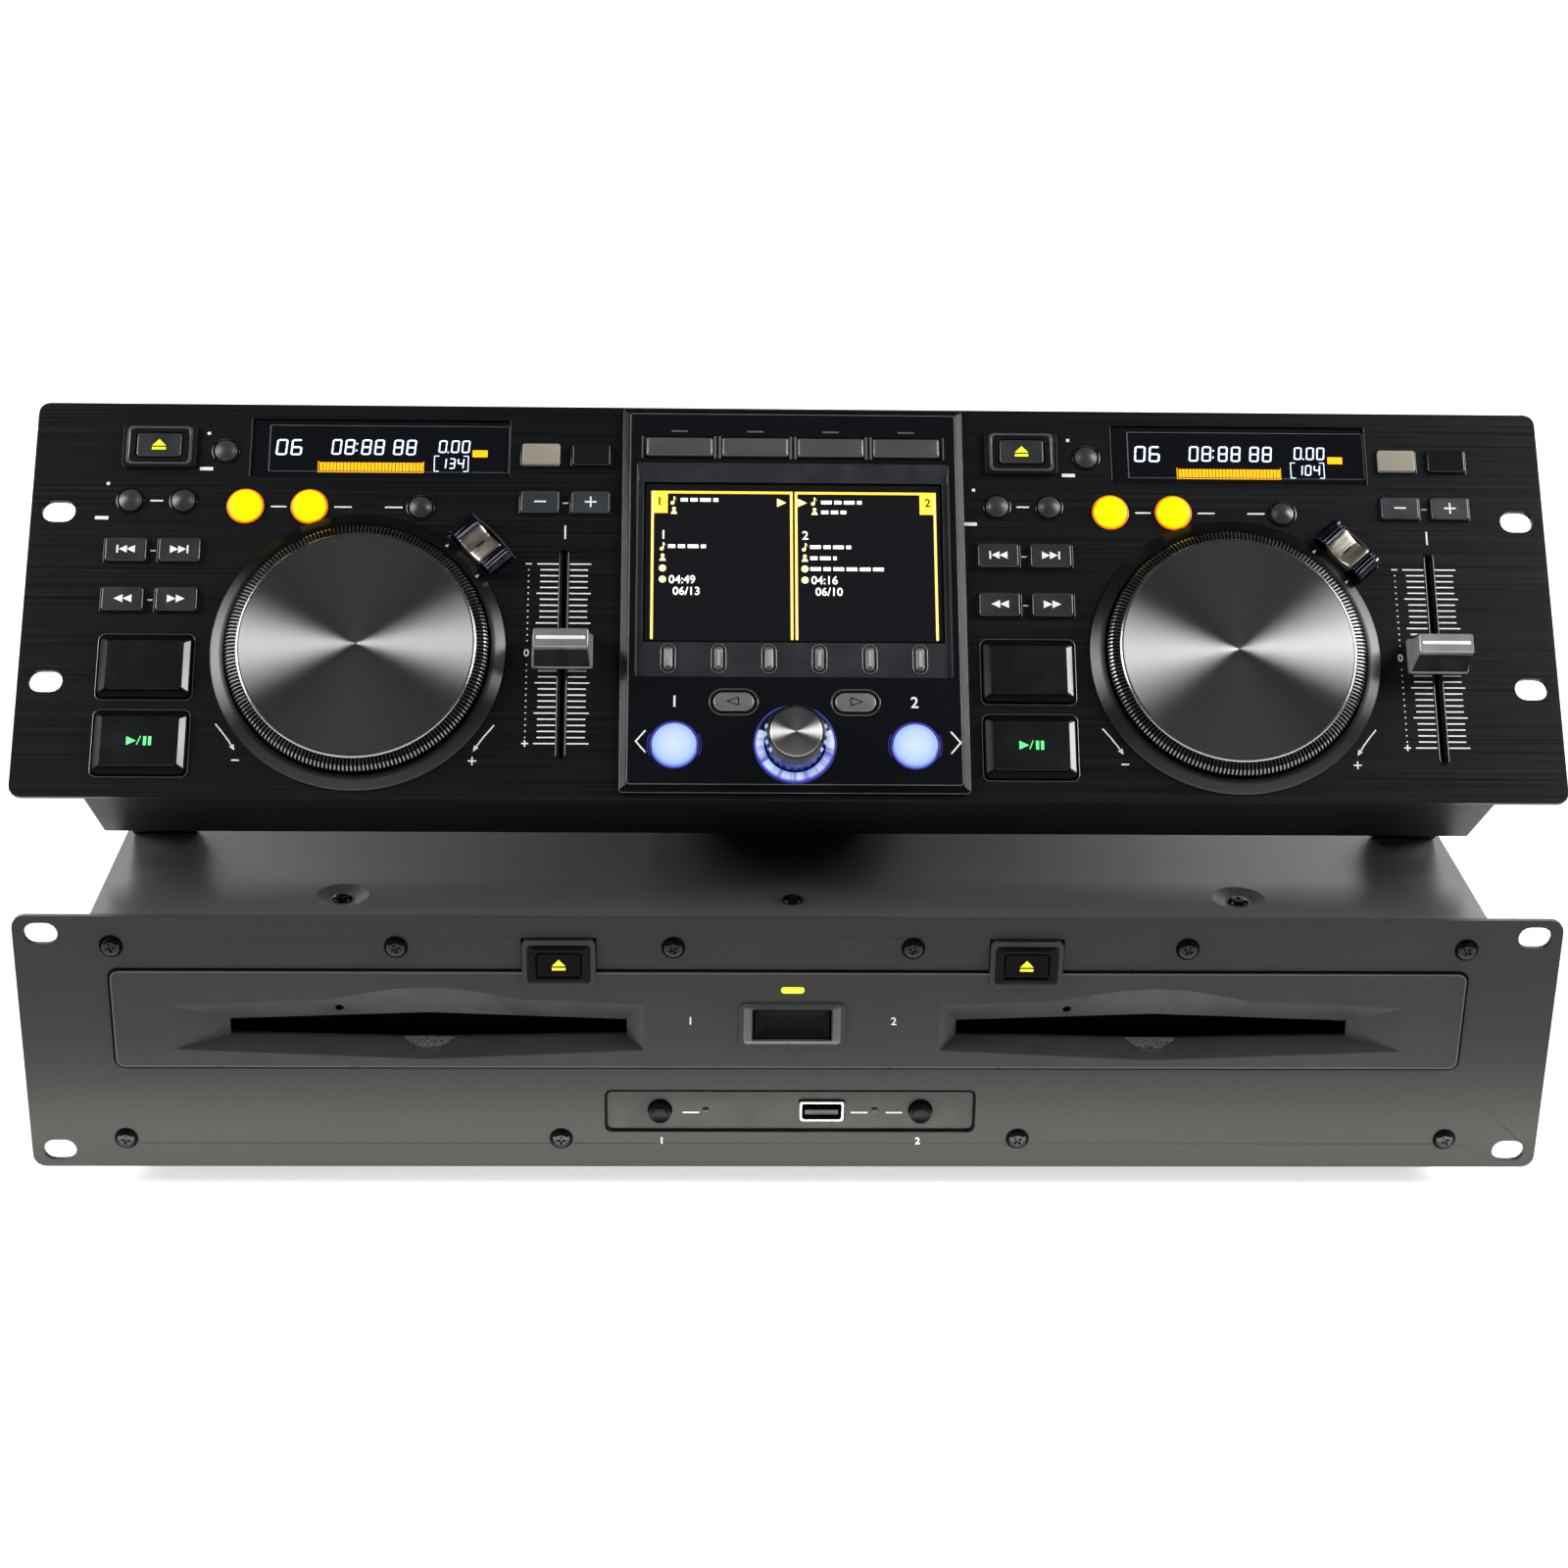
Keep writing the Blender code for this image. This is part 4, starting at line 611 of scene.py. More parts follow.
def eject_icon(x, y, width, height):
    """A triangle over a bar."""
    bar_height = 0.24 * height
    return [bar(x, y - height / 2 + bar_height / 2, width, bar_height),
            [(x, y + height / 2), (x - width / 2, y - height / 2 + 1.6 * bar_height),
             (x + width / 2, y - height / 2 + 1.6 * bar_height)]]


segment_rows = {"0": "abcdef", "1": "bc", "2": "abged", "3": "abgcd", "4": "fgbc", "5": "afgcd",
                "6": "afgedc", "7": "abc", "8": "abcdefg", "9": "abcdfg"}


def seven_segment(text, x, y, height, width, pitch, thick):
    """Digits of seven bars, leaning a little, from x on. A colon and a space take half a place."""
    outlines = []
    lean = 0.08
    for sign in text:
        half = height / 2
        spots = {"a": (0, half, 0), "g": (0, 0, 0), "d": (0, -half, 0), "f": (-1, half / 2, 1),
                 "b": (1, half / 2, 1), "e": (-1, -half / 2, 1), "c": (1, -half / 2, 1)}
        if sign in segment_rows:
            middle = x + width / 2
            for name in segment_rows[sign]:
                side, rise, upright = spots[name]
                reach = (half if upright else width - thick) / 2 - 0.12 * thick
                tip = max(reach - thick / 2, 0.01)
                if upright:
                    cx = middle + side * (width - thick) / 2
                    ring = [(0, reach), (-thick / 2, tip), (-thick / 2, -tip), (0, -reach),
                            (thick / 2, -tip), (thick / 2, tip)]
                    points = [(cx + a, rise * (1 - thick / height) + b) for a, b in ring]
                else:
                    ring = [(reach, 0), (tip, thick / 2), (-tip, thick / 2), (-reach, 0),
                            (-tip, -thick / 2), (tip, -thick / 2)]
                    points = [(middle + a, rise * (1 - thick / height) + b) for a, b in ring]
                outlines.append([(a + lean * b, y + b) for a, b in points])
            x += pitch
        elif sign == ":":
            for rise in (-0.22, 0.22):
                outlines.append(bar(x + lean * rise * height - 0.1 * pitch, y + rise * height, thick,
                                    thick))
            x += 0.28 * pitch
        elif sign == ".":
            outlines.append(bar(x - 0.12 * pitch, y - half + thick / 2, thick, thick))
            x += 0.16 * pitch
        else:
            x += 0.45 * pitch
    return outlines


def key_profile(base, top, edge, reach=0.0, crown=0.0, flare=0.0):
    """Steps (out, height) of a key: its sides, a rounded edge, then a top that rises or dips by the crown."""
    steps = [(flare, base), (0, top - edge)]
    for angle in (pi / 8, pi / 4, 3 * pi / 8, pi / 2):
        steps.append((-edge * (1 - cos(angle)), top - edge * (1 - sin(angle))))
    if crown:
        for share in (0.2, 0.4, 0.6, 0.8, 0.93):
            steps.append((-edge - share * (reach - edge), top + crown * (1 - (1 - share) ** 2)))
    return steps


# ---------------------------------------------------------------- decks

jog_x = {"left": -136.3, "right": 139.2}
jog_y = -18.05
column, tempo = -65.7, 63.75
zero_y = -18.3
search_rows = (15.3, -1.4)
memory_places = [(-73.9, 32.4), (-57.2, 32.4)]
lever_angle = 43.3


def deck_frame(side):
    """x from the jog wheel's middle, y and z as on the panel."""
    return at(deck, jog_x[side])


def fader_scale():
    outlines = []
    for step in range(31):
        y = zero_y + 30 - 2 * step
        outer, inner = (8.55, 1.75) if step % 5 == 0 else (7.5, 1.75)
        for side in (-1, 1):
            outlines.append(bar(tempo + side * (outer + inner) / 2, y, outer - inner, 0.42))
        if step not in (0, 14, 15, 16, 30):
            outlines.append(dot(tempo - 11.15, y, 0.26, 8))
    outlines += minus(tempo - 11.15, zero_y + 30, 1.9, 0.45) + plus(tempo - 11.15, zero_y - 30, 2.1, 0.45)
    outlines.append(bar(tempo + 0.1, 22.6, 0.5, 4.6))
    return outlines


def deck_marks(side):
    outlines = fader_scale()
    for x in (-1, 1):
        start, end = Vector((x * 43.0, -42.4)), Vector((x * 37.2, -50.2))
        bend = (start + end) / 2 + Vector((-x * 0.35, -0.25)) * 2
        outlines.append(stroke([start, (start + 2 * bend) / 3, (end + 2 * bend) / 3, end], 0.45))
        angle = atan2(*(end - bend).yx)
        outlines.append(arrowhead(end.x, end.y, 1.9, angle, 0.85))
    outlines += minus(-36.3, -54.2, 2.4, 0.45) + plus(36.5, -54.1, 2.6, 0.45)
    for low, high in ((-29.6, -24.6), (-9.5, -4.0), (6.5, 12.1)):
        outlines.append(bar((low + high) / 2, 30.7, high - low, 0.5))
    outlines.append(bar(column, 32.4, 4.0, 0.5))
    for y in search_rows:
        outlines.append(bar(column, y, 1.7, 0.5))
    outlines.append(bar(tempo, 32.6, 1.9, 0.4))
    outlines += [bar(-50.4, 55.9, 1.0, 1.0), bar(-50.6, 43.6, 4.2, 1.15)]
    outlines += [bar(-81.3, 38.2, 1.0, 1.0), bar(-82.6, 26.4, 4.2, 1.15)]
    form = marked(outlines)
    form.join(text_form("0", 2.5, tempo - 11.3, zero_y, mark_low, mark_high))
    piece("deck_marks_" + side, form, deck_frame(side), "controller", paint_white)


def knurl(slope, teeth, wide, deep):
    """Separate ribs down a cone, given as (radius, height) steps."""
    form = Form()
    for tooth in range(teeth):
        loops = []
        for radius, z in slope:
            loops.append([(radius - deep, -wide / 2, z - deep), (radius, -wide / 2.6, z),
                          (radius, wide / 2.6, z),
                          (radius - deep, wide / 2, z - deep)])
        form.join(Form().loft([loop[::-1] for loop in loops]).moved(shift(turn=tau * tooth / teeth)))
    return form


def turned_ring(profile, count=128):
    return Form().lathe(profile, count, ring=True)


def jog_wheel(side):
    base, body = at(deck_frame(side), 0, jog_y), "jog_wheel_" + side
    platter = Form().lathe([(6.0, -8.0), (6.0, 4.8), (35.6, 5.0), (36.2, 5.6), (36.3, 6.6), (36.25, 6.8),
                            (20, 6.78), (6, 6.76), (1.2, 6.75), (0.6, 6.6), (0.25, 6.45)], 160)
    piece("jog_platter_" + side, platter, base, body, platter_metal, body, "platter_metal")
    lip = turned_ring([(36.2, 5.6), (37.3, 5.5), (37.3, 6.3), (37.2, 6.5), (36.75, 6.78), (36.5, 6.84),
                       (36.24, 6.8)])
    piece("jog_lip_" + side, lip, base, body, rim_metal, slot="platter_metal")
    # The black cone under the knurl's ribs and the black skirt below them are painted shade between and under
    # the ribs.
    cone = turned_ring([(40.35, 1.0), (40.35, 3.9), (40.1, 4.4), (39.5, 5.0), (37.6, 5.6), (37.2, 5.6),
                        (37.2, 1.0)])
    piece("jog_cone_" + side, cone, base, body, print_and_shade_black, slot="platter_metal")
    ribs = knurl(((37.5, 5.95), (39.6, 5.45), (40.35, 4.85), (40.8, 4.1), (40.8, 1.3)), 200, 0.62, 0.5)
    piece("jog_knurl_" + side, ribs, base, body, knurl_metal, slot="platter_metal", angle=25)
    skirt = turned_ring([(40.6, 0.9), (40.6, 1.4), (38.9, 1.4), (38.9, 0.9)], 96)
    piece("jog_skirt_" + side, skirt, base, body, print_and_shade_black)


def jog_bezel(side):
    base = at(deck_frame(side), 0, jog_y)
    bezel = turned_ring([(46.0, 0.05), (46.0, 0.45), (45.85, 0.75), (45.5, 0.95), (43.4, 2.25),
                         (42.9, 2.5), (42.4, 2.6),
                         (41.8, 2.55), (41.5, 2.3), (41.45, 1.5), (41.45, 0.05)], 160)
    piece("jog_bezel_ring_" + side, bezel, base, "controller", bezel_metal, "jog_bezel_" + side,
          "bezel_metal")
    # A black sheet in the hollow under the wheel: painted shade.
    well = turned_ring([(41.45, 0.0), (41.45, 0.12), (32.0, 0.12), (32.0, 0.0)], 96)
    piece("jog_well_" + side, well, base, "controller", print_and_shade_black)
    outlines = []
    for angle in (52.5, 34.0):
        where = Vector((cos(radians(angle)), sin(radians(angle)))) * 43.9
        outlines.append(arrowhead(where.x, where.y, 1.9, radians(lever_angle), 0.75))
    piece("jog_bezel_marks_" + side, marked(outlines, 1.6, 2.12), base, "controller", paint_white)


def smooth_steps(pairs, count):
    """Heights along a line, eased between the given pairs of (place, height)."""
    made = []
    for (x0, z0), (x1, z1) in zip(pairs, pairs[1:]):
        for step in range(count):
            share = step / count
            made.append((x0 + (x1 - x0) * share, z0 + (z1 - z0) * (3 - 2 * share) * share ** 2))
    return made + [pairs[-1]]


def lever_bar(places, half_width, low, bulge=0.5):
    """A bar along x with a rounded back, its height given along the way."""
    loops = []
    for x, z in places:
        shape = []
        for angle in [pi * step / 10 for step in range(11)]:
            shape.append((x, half_width * cos(angle), z - bulge * (1 - sin(angle) ** 0.6)))
        loops.append([(x, half_width, low)] + shape + [(x, -half_width, low)])
    return Form().loft([loop[::-1] for loop in loops])


def jog_lever(side):
    low, high = local_box("jog_lever_" + side, deck_frame(side))
    turn = radians(lever_angle) - pi / 2
    base = at(deck_frame(side), (low.x + high.x) / 2, (low.y + high.y) / 2, 0, turn)
    body = "jog_lever_" + side
    middle = smooth_steps([(-5.4, 4.4), (-4.6, 4.6), (-1.2, 3.3), (0, 3.1), (1.2, 3.3), (4.6, 4.6),
                           (5.4, 4.4)], 5)
    piece("lever_saddle_" + side, lever_bar(middle, 4.3, 0.4, 0.35), base, body, chrome_warm, body,
          "lever_chrome")
    notch = Form().stack(rounded(0.5, 3.4, 0.2), [(0, 2.9), (0, 3.35), (-0.12, 3.45)])
    piece("lever_notch_" + side, notch, base, body, chrome_dark, slot="lever_chrome")
    pads = Form()
    for way in (-1, 1):
        ribs = [(4.9, 3.9), (5.2, 5.0), (6.0, 5.75), (6.5, 5.35), (7.1, 5.85), (7.6, 5.35), (8.2, 5.7),
                (8.7, 5.1),
                (9.2, 5.0), (9.9, 3.9), (9.95, 2.4)]
        places = [(way * x, z) for x, z in smooth_steps(ribs, 3)]
        form = lever_bar(places if way > 0 else places[::-1], 4.6, 0.4, 0.7)
        pads.join(form)
    piece("lever_pads_" + side, pads, base, body, chrome_dark, slot="lever_chrome")
    reach = hypot((low.x + high.x) / 2, (low.y + high.y) / 2 - jog_y)
    wall = marked([arc_stroke(reach + 6.3, lever_angle - 10.2, lever_angle + 10.2, 0.5, count=24)], 0.02,
                  0.9)
    piece("lever_wall_" + side, wall, at(deck_frame(side), 0, jog_y), "controller", bezel_and_highlight_grey)
    guard = Form().plate(rounded(21.0, 10.4, 2.0), 0.03, 0.62, 0.25, [rounded(20.2, 9.6, 1.6)])
    piece("lever_guard_" + side, guard, base, "controller", key_gloss)


def fader(side):
    body, base = "fader_" + side, at(deck_frame(side), tempo, zero_y)
    half_low, half_high = (18.8 / 2, 11.2 / 2), (17.2 / 2, 6.4 / 2)
    form = Form()
    loops = []
    steps = ((0.6, 0.0, 0), (0.9, 0.0, 0.1), (2.2, 0.0, 0.1), (2.6, 0.08, 0.0), (7.0, 0.62, 0.0),
             (11.2, 0.93, 0.0),
             (13.0, 1.0, 0.0), (13.5, 1.0, -0.12), (13.75, 1.0, -0.35))
    for z, share, out in steps:
        width = 2 * (half_low[0] + (half_high[0] - half_low[0]) * share)
        length = 2 * (half_low[1] + (half_high[1] - half_low[1]) * share)
        loops.append([(x, y, z) for x, y in rounded(width, length, 0.7, steps=3)(out)])
    form.loft(loops)
    piece("fader_knob_" + side, form, base, body, fader_silver, body, "knob_silver")
    faces = Form()
    for way in (-1, 1):
        low_y, high_y, push = way * 5.55, way * 3.62, Vector((0, way * 0.12, 0.02))
        points = [(8.7, low_y, 2.9), (8.7 - 0.5, high_y, 11.6), (0.5 - 8.7, high_y, 11.6),
                  (-8.7, low_y, 2.9)]
        back = [Vector(point) - push * 3 for point in points]
        front = [Vector(point) + push for point in points]
        faces.loft([loop if way > 0 else loop[::-1] for loop in (back, front)])
    piece("fader_face_" + side, faces, base, body, fader_face)
    top = Form().stack(rounded(15.2, 1.15, 0.35), [(0, 13.6), (0, 13.85), (-0.1, 13.92)])
    piece("fader_line_" + side, top, base, body, paint_white)
    stem = Form().box((1.8, 6.0, 7.5), (0, 0, -2.6))
    piece("fader_stem_" + side, stem, base, body, zinc)
    slot = Form().plate(rounded(3.3, 71.2, 1.5), 0.0, 0.2, 0.12, [rounded(2.5, 69.6, 1.2)])
    piece("fader_slot_" + side, slot, base, "controller", ring_dark)
    lips = Form()
    for way in (-1, 1):
        lips.box((1.15, 68.0, 0.25), (way * 1.15, 0, -1.35))
    piece("fader_lips_" + side, lips, base, "controller", key_grey)
    # A black floor deep in the slot: painted shade.
    floor = Form().box((3.6, 70.0, 0.3), (0, 0, -8.2))
    piece("fader_floor_" + side, floor, base, "controller", print_and_shade_black)


# ---------------------------------------------------------------- keys


def key_at(name, base):
    """The middle and the top of a key that is a node of its own."""
    low, high = local_box(name, base)
    return (low.x + high.x) / 2, (low.y + high.y) / 2, high.z


def rings_round(places, inner, outer, high, name, side, look):
    form = Form()
    for x, y in places:
        form.join(turned_ring([(outer, 0.02), (outer, high - 0.08), (outer - 0.12, high),
                               (inner + 0.1, high),
                               (inner, high - 0.1), (inner, 0.02)], 48).moved(shift(x, y)))
    piece(name + "_" + side, form, deck_frame(side), "controller", look)


def search_keys(side):
    body, base = "search_keys_" + side, deck_frame(side)
    places = [(column + way * 8.4, y) for y in search_rows for way in (-1, 1)]
    caps, hoods, icons = Form(), Form(), []
    for x, y in places:
        caps.stack(rounded(12.9, 7.9, 0.9, x, y), key_profile(-2.2, 1.45, 0.45, 3.4, -0.12))
        hoods.plate(rounded(14.3, 9.4, 1.3, x, y), 0.02, 0.22, 0.1, [rounded(13.3, 8.3, 0.9, x, y)],
                    False)
        way, turn = (1, 0) if x > column else (-1, pi)
        if y > 0:
            icons += [arrowhead(x + way * offset, y, 2.6, turn, 1.0) for offset in (-1.6, 0.9)]
            icons.append(bar(x + way * 2.6, y, 0.55, 2.7))
        else:
            icons += [arrowhead(x + way * offset, y, 2.8, turn, 0.95) for offset in (-1.5, 1.3)]
    piece("search_caps_" + side, caps, base, body, key_face, body, "key_satin")
    piece("search_icons_" + side, marked(icons, 1.3, 1.36), base, body, paint_white)
    piece("search_hoods_" + side, hoods, base, "controller", key_gloss)
    domes = Form()
    for x, y in memory_places:
        domes.stack(disc(3.62, x, y, 40), key_profile(-2.2, 0.7, 0.3, 3.62, 1.25))
    piece("memory_caps_" + side, domes, base, body, round_grey, slot="key_satin")
    rings_round(memory_places, 3.95, 4.4, 0.45, "memory_rings", side, ring_dark)


def small_round_key(name, side, ring=4.45):
    base, body = deck_frame(side), name + "_" + side
    x, y, top = key_at(body, base)
    dome = Form().stack(disc(3.6, x, y, 40), key_profile(-2.2, top - 1.25, 0.3, 3.6, 1.25))
    piece(name + "_cap_" + side, dome, base, body, round_grey, body, "key_satin")
    rings_round([(x, y)], 3.95, ring, 0.45, name + "_ring", side, ring_dark)


def loop_key(name, side):
    base, body = deck_frame(side), name + "_" + side
    x, y, top = key_at(body, base)
    dome = Form().stack(disc(5.15, x, y, 48), key_profile(-2.2, top - 0.35, 0.35, 5.15, 0.4))
    piece(name + "_lens_" + side, dome, base, body, lamp_yellow, body, "yellow_lens")
    halo = turned_ring([(5.9, 0.02), (5.9, 0.22), (5.75, 0.3), (5.42, 0.3), (5.3, 0.2), (5.3, 0.02)], 48)
    piece(name + "_halo_" + side, halo.moved(shift(x, y)), base, "controller", lamp_orange)


def big_key(name, side):
    base, body = deck_frame(side), name + "_" + side
    x, y, top = key_at(body, base)
    profile = [(0.4, -2.3), (0.4, 0.35), (0.25, 0.7), (0.1, top - 1.5), (-0.08, top - 1.32),
               (-2.05, top - 0.12), (-2.3, top)]
    skirt = Form().stack(rounded(28.0, 20.0, 1.8, x, y, 5), profile)
    piece(name + "_body_" + side, skirt, base, body, key_jet, body, "key_gloss")
    out, reach = x + 14.0, 10.0
    corners = [(out - 0.2, y - reach + 1.7, top - 1.26), (out - 2.0, y - reach + 2.7, top - 0.16),
               (out - 2.0, y + reach - 2.7, top - 0.16), (out - 0.2, y + reach - 1.7, top - 1.26)]
    push = Vector((0.52, 0, 0.85))
    glint = Form().loft([[Vector(corner) + push * share for corner in corners[::-1]]
                         for share in (-0.3, 0.04)])
    piece(name + "_glint_" + side, glint, base, body, key_gloss)
    face = Form().stack(rounded(23.4, 15.4, 0.9, x, y, 5),
                        [(0.3, top - 0.15), (0.16, top + 0.05), (0, top + 0.09)])
    piece(name + "_face_" + side, face, base, body, face_black)
    well = Form().plate(rounded(30.2, 22.2, 2.2, x, y, 5), 0.02, 0.35, 0.16,
                        [rounded(29.5, 21.5, 2.0, x, y, 5)], False)
    piece(name + "_surround_" + side, well, base, "controller", frame_gloss)
    if name.startswith("play"):
        icons = [arrowhead(x - 2.3, y, 3.0, 0, 0.95), stroke([(x - 0.55, y - 1.3), (x + 0.5, y + 1.5)], 0.32)]
        icons += [bar(x + offset, y, 0.95, 2.9) for offset in (1.85, 3.4)]
        piece("play_icon_" + side, marked(icons, top, top + 0.13), base, body, lamp_green)


def eject_key(side):
    base, body = deck_frame(side), "eject_key_" + side
    x, y, top = key_at(body, base)
    outer, inner = rounded(22.8, 14.6, 1.6, x, y, 6), rounded(18.6, 11.4, 1.6, x, y, 6)
    steps = ((outer, 0, 0.03), (outer, 0, 0.8), (outer, -0.2, 1.1), (outer, -0.55, 1.3),
             (inner, 0.6, 1.5), (inner, 0.3, 1.5),
             (inner, 0.1, 1.35), (inner, -0.05, 0.5))
    bezel = Form().climb(steps)
    piece("eject_bezel_" + side, bezel, base, "controller", frame_gloss)
    steps = ((inner, -0.1, 0.3), (inner, -0.3, 0.95), (inner, -0.5, 1.05), (inner, -0.9, 1.05),
             (inner, -1.1, 0.9), (inner, -1.15, 0.2))
    ring = Form().climb(steps)
    piece("eject_ring_" + side, ring, base, "controller", bezel_and_highlight_grey)
    cap = Form().stack(rounded(14.0, 8.0, 0.8, x, y), key_profile(-2.0, top, 0.4, 3.4, -0.1))
    piece("eject_cap_" + side, cap, base, body, key_face, body, "key_gloss")
    icon = marked(eject_icon(x, y, 4.4, 3.6), top - 0.15, top - 0.02)
    piece("eject_icon_" + side, icon, base, body, icon_yellow)


def tempo_keys(side):
    base, body = deck_frame(side), "tempo_keys_" + side
    hoods = Form()
    for i, (x, y) in enumerate([(tempo + way * 8.05, y) for y in (49.1, 32.6) for way in (-1, 1)]):
        look, name = ((key_lit, "lit"), (key_gloss, "range"), (key_grey, "minus"), (key_grey, "plus"))[i]
        cap = Form().stack(rounded(12.0, 7.4, 0.7, x, y), key_profile(-2.2, 1.3, 0.4, 3.2, -0.06))
        node = {"node": body} if i == 0 else {}
        piece("tempo_cap_%s_%s" % (name, side), cap, base, body, look, slot="key_satin", **node)
        hoods.plate(rounded(13.2, 8.6, 1.0, x, y), 0.02, 0.2, 0.1, [rounded(12.4, 7.8, 0.8, x, y)], False)
    icons = minus(tempo - 8.05, 32.6, 3.7, 0.5) + plus(tempo + 8.05, 32.6, 3.7, 0.5)
    piece("tempo_icons_" + side, marked(icons, 1.2, 1.29), base, body, paint_white)
    piece("tempo_hoods_" + side, hoods, base, "controller", ring_dark)


def display(side):
    base, node = deck_frame(side), "display_window_" + side
    low, high = local_box(node, base)
    middle = ((low.x + high.x) / 2, (low.y + high.y) / 2)
    width, height = high.x - low.x, high.y - low.y
    glass = Form().stack(rounded(width, height, 0.5, *middle, 2),
                         [(0, low.z), (0, high.z - 0.1), (-0.1, high.z)])
    piece("display_glass_" + side, glass, base, "controller", console_gloss, node, "display_window")
    top = high.z
    rim = Form().plate(rounded(width + 1.6, height + 1.6, 0.7, *middle, 2), 0.01, 0.12, 0.05,
                       [rounded(width + 0.7, height + 0.7, 0.5, *middle, 2)], False)
    piece("display_rim_" + side, rim, base, "controller", key_gloss)
    walls = [bar(x, middle[1], 0.35, height - 3.4) for x in (-31.0, 45.4)]
    walls += [bar(7.2, middle[1] + way * (height - 3.4) / 2, 76.4, 0.18) for way in (-1, 1)]
    piece("display_walls_" + side, marked(walls, top - 0.1, top + 0.03), base, "controller", divider_and_highlight_grey)
    digits = seven_segment("06", -28.9, 51.6, 5.6, 3.6, 4.7, 0.62)
    digits += seven_segment("08:88 88", -11.2, 51.8, 5.4, 3.1, 4.15, 0.56)
    digits += seven_segment("0.00", 22.9, 52.2, 4.4, 2.6, 3.4, 0.48)
    digits += seven_segment("134" if side == "left" else "104", 23.4, 46.3, 3.7, 2.1, 2.8, 0.42)
    corners = [(32.4, 43.6), (32.4, 48.9), (30.9, 48.9)]
    digits += [stroke(corners, 0.28), stroke([(23.1, 48.9), (21.6, 48.9), (21.6, 43.6), (23.1, 43.6)],
                                             0.28)]
    digits.append(stroke([(30.9, 43.6), (32.4, 43.6)], 0.28))
    piece("display_digits_" + side, marked(digits, top - 0.1, top + 0.04), base, "controller", lcd_white)
    amber = [bar(-14.4 + 1.1 * step, 45.0, 0.86, 2.9) for step in range(30)]
    amber += [stroke([(-15.3, 46.9), (-15.3, 43.1), (18.2, 43.1), (18.2, 46.9)], 0.22),
              bar(36.1, 49.8, 4.8, 2.4)]
    piece("display_bar_" + side, marked(amber, top - 0.1, top + 0.04), base, "controller", lcd_amber)


def decks():
    for side in sides:
        deck_marks(side)
        jog_wheel(side)
        jog_bezel(side)
        jog_lever(side)
        fader(side)
        search_keys(side)
        small_round_key("time_key", side)
        small_round_key("reloop_key", side)
        loop_key("loop_in_key", side)
        loop_key("loop_out_key", side)
        big_key("cue_key", side)
        big_key("play_key", side)
        eject_key(side)
        tempo_keys(side)
        display(side)


# ---------------------------------------------------------------- console

console_top = 2.5
tab_x = (-36.3, -12.1, 12.1, 36.3)
soft_places = [(15.8 * (i - 2.5), -20.3) for i in range(6)]
menu_x, menu_y = (-19, 19), -35.2
load_x, load_y = (-37.4, 37.4), -49.3
selector_y = -48.9


def console_frame():
    low, high = local_box("console_frame", deck)
    size, middle = (high.x - low.x, high.y - low.y), ((low.x + high.x) / 2, (low.y + high.y) / 2)
    edge = rounded(*size, 1.2, *middle, 4)
    top = high.z
    outer = Form().stack(edge, [(0, 0.3), (0, 1.15), (-0.12, 1.3), (-0.3, 1.38), (-1.95, top - 0.12),
                                (-2.2, top - 0.02), (-2.45, top)],
                         False, False)
    piece("console_edge", outer, deck, "controller", console_edge, "console_frame", "console_gloss")
    holes = [rounded(99.6, 72.7, 0.8, 0, 9.55, 3)]
    holes += [rounded(21.9, 7.6, 0.5, x, 51.2, 2) for x in tab_x]
    holes += [disc(7.25, x, load_y, 40) for x in load_x]
    holes += [rounded(13.3, 6.6, 3.3, x, menu_y, 6) for x in menu_x]
    holes.append(disc(9.6, 0, selector_y, 48))
    plate = Form().plate(rounded(size[0] - 4.9, size[1] - 4.9, 0.6, *middle, 2), 0.35, top, 0.12, holes)
    piece("console_plate", plate, deck, "controller", console_gloss)
    # Lighter lines on the top and outer edges of the console's dark bevel: painted highlights.
    line = Form().plate(rounded(size[0] - 4.5, size[1] - 4.5, 0.8, *middle, 2), top - 0.2, top + 0.02,
                        0.05,
                        [rounded(size[0] - 5.1, size[1] - 5.1, 0.6, *middle, 2)], False)
    line.plate(rounded(size[0] + 0.1, size[1] + 0.1, 1.2, *middle, 3), 1.05, 1.28, 0.05,
               [rounded(size[0] - 0.5, size[1] - 0.5, 0.9, *middle, 3)], False)
    piece("console_edge_highlights", line, deck, "controller", divider_and_highlight_grey)
    well = Form().loft([[(x, y, z) for x, y in rounded(*box, 0.8, *spot, 3)()][::-1] for box, spot, z in
               (((99.6, 72.7), (0, 9.55), top - 0.05), ((98.6, 67.2), (0, 6.9), 1.2))], False, False)
    piece("console_bevel", well, deck, "controller", console_satin)
    soft_holes = [rounded(3.3, 8.6, 1.65, x, y, 5) for x, y in soft_places]
    floor = Form().plate(rounded(98.8, 67.4, 0.8, 0, 6.9, 3), 0.35, 1.22, 0.1,
                         [rounded(95.2, 54.6, 0.5, 0, 12.5, 2)] + soft_holes)
    piece("console_floor", floor, deck, "controller", console_satin)


def note_icon(x, y):
    """A quaver."""
    return [dot(x - 0.5, y - 0.9, 0.62, 12), bar(x, y + 0.15, 0.3, 2.3),
            [(x + 0.15, y + 1.3), (x - 0.15, y + 1.3), (x + 0.9, y + 0.1)]]


def person_icon(x, y):
    """A head over shoulders."""
    return [dot(x, y + 0.65, 0.6, 12), [(x + 0.55, y - 0.1), (x - 0.55, y - 0.1), (x - 1.05, y - 1.2),
                                        (x + 1.05, y - 1.2)]]


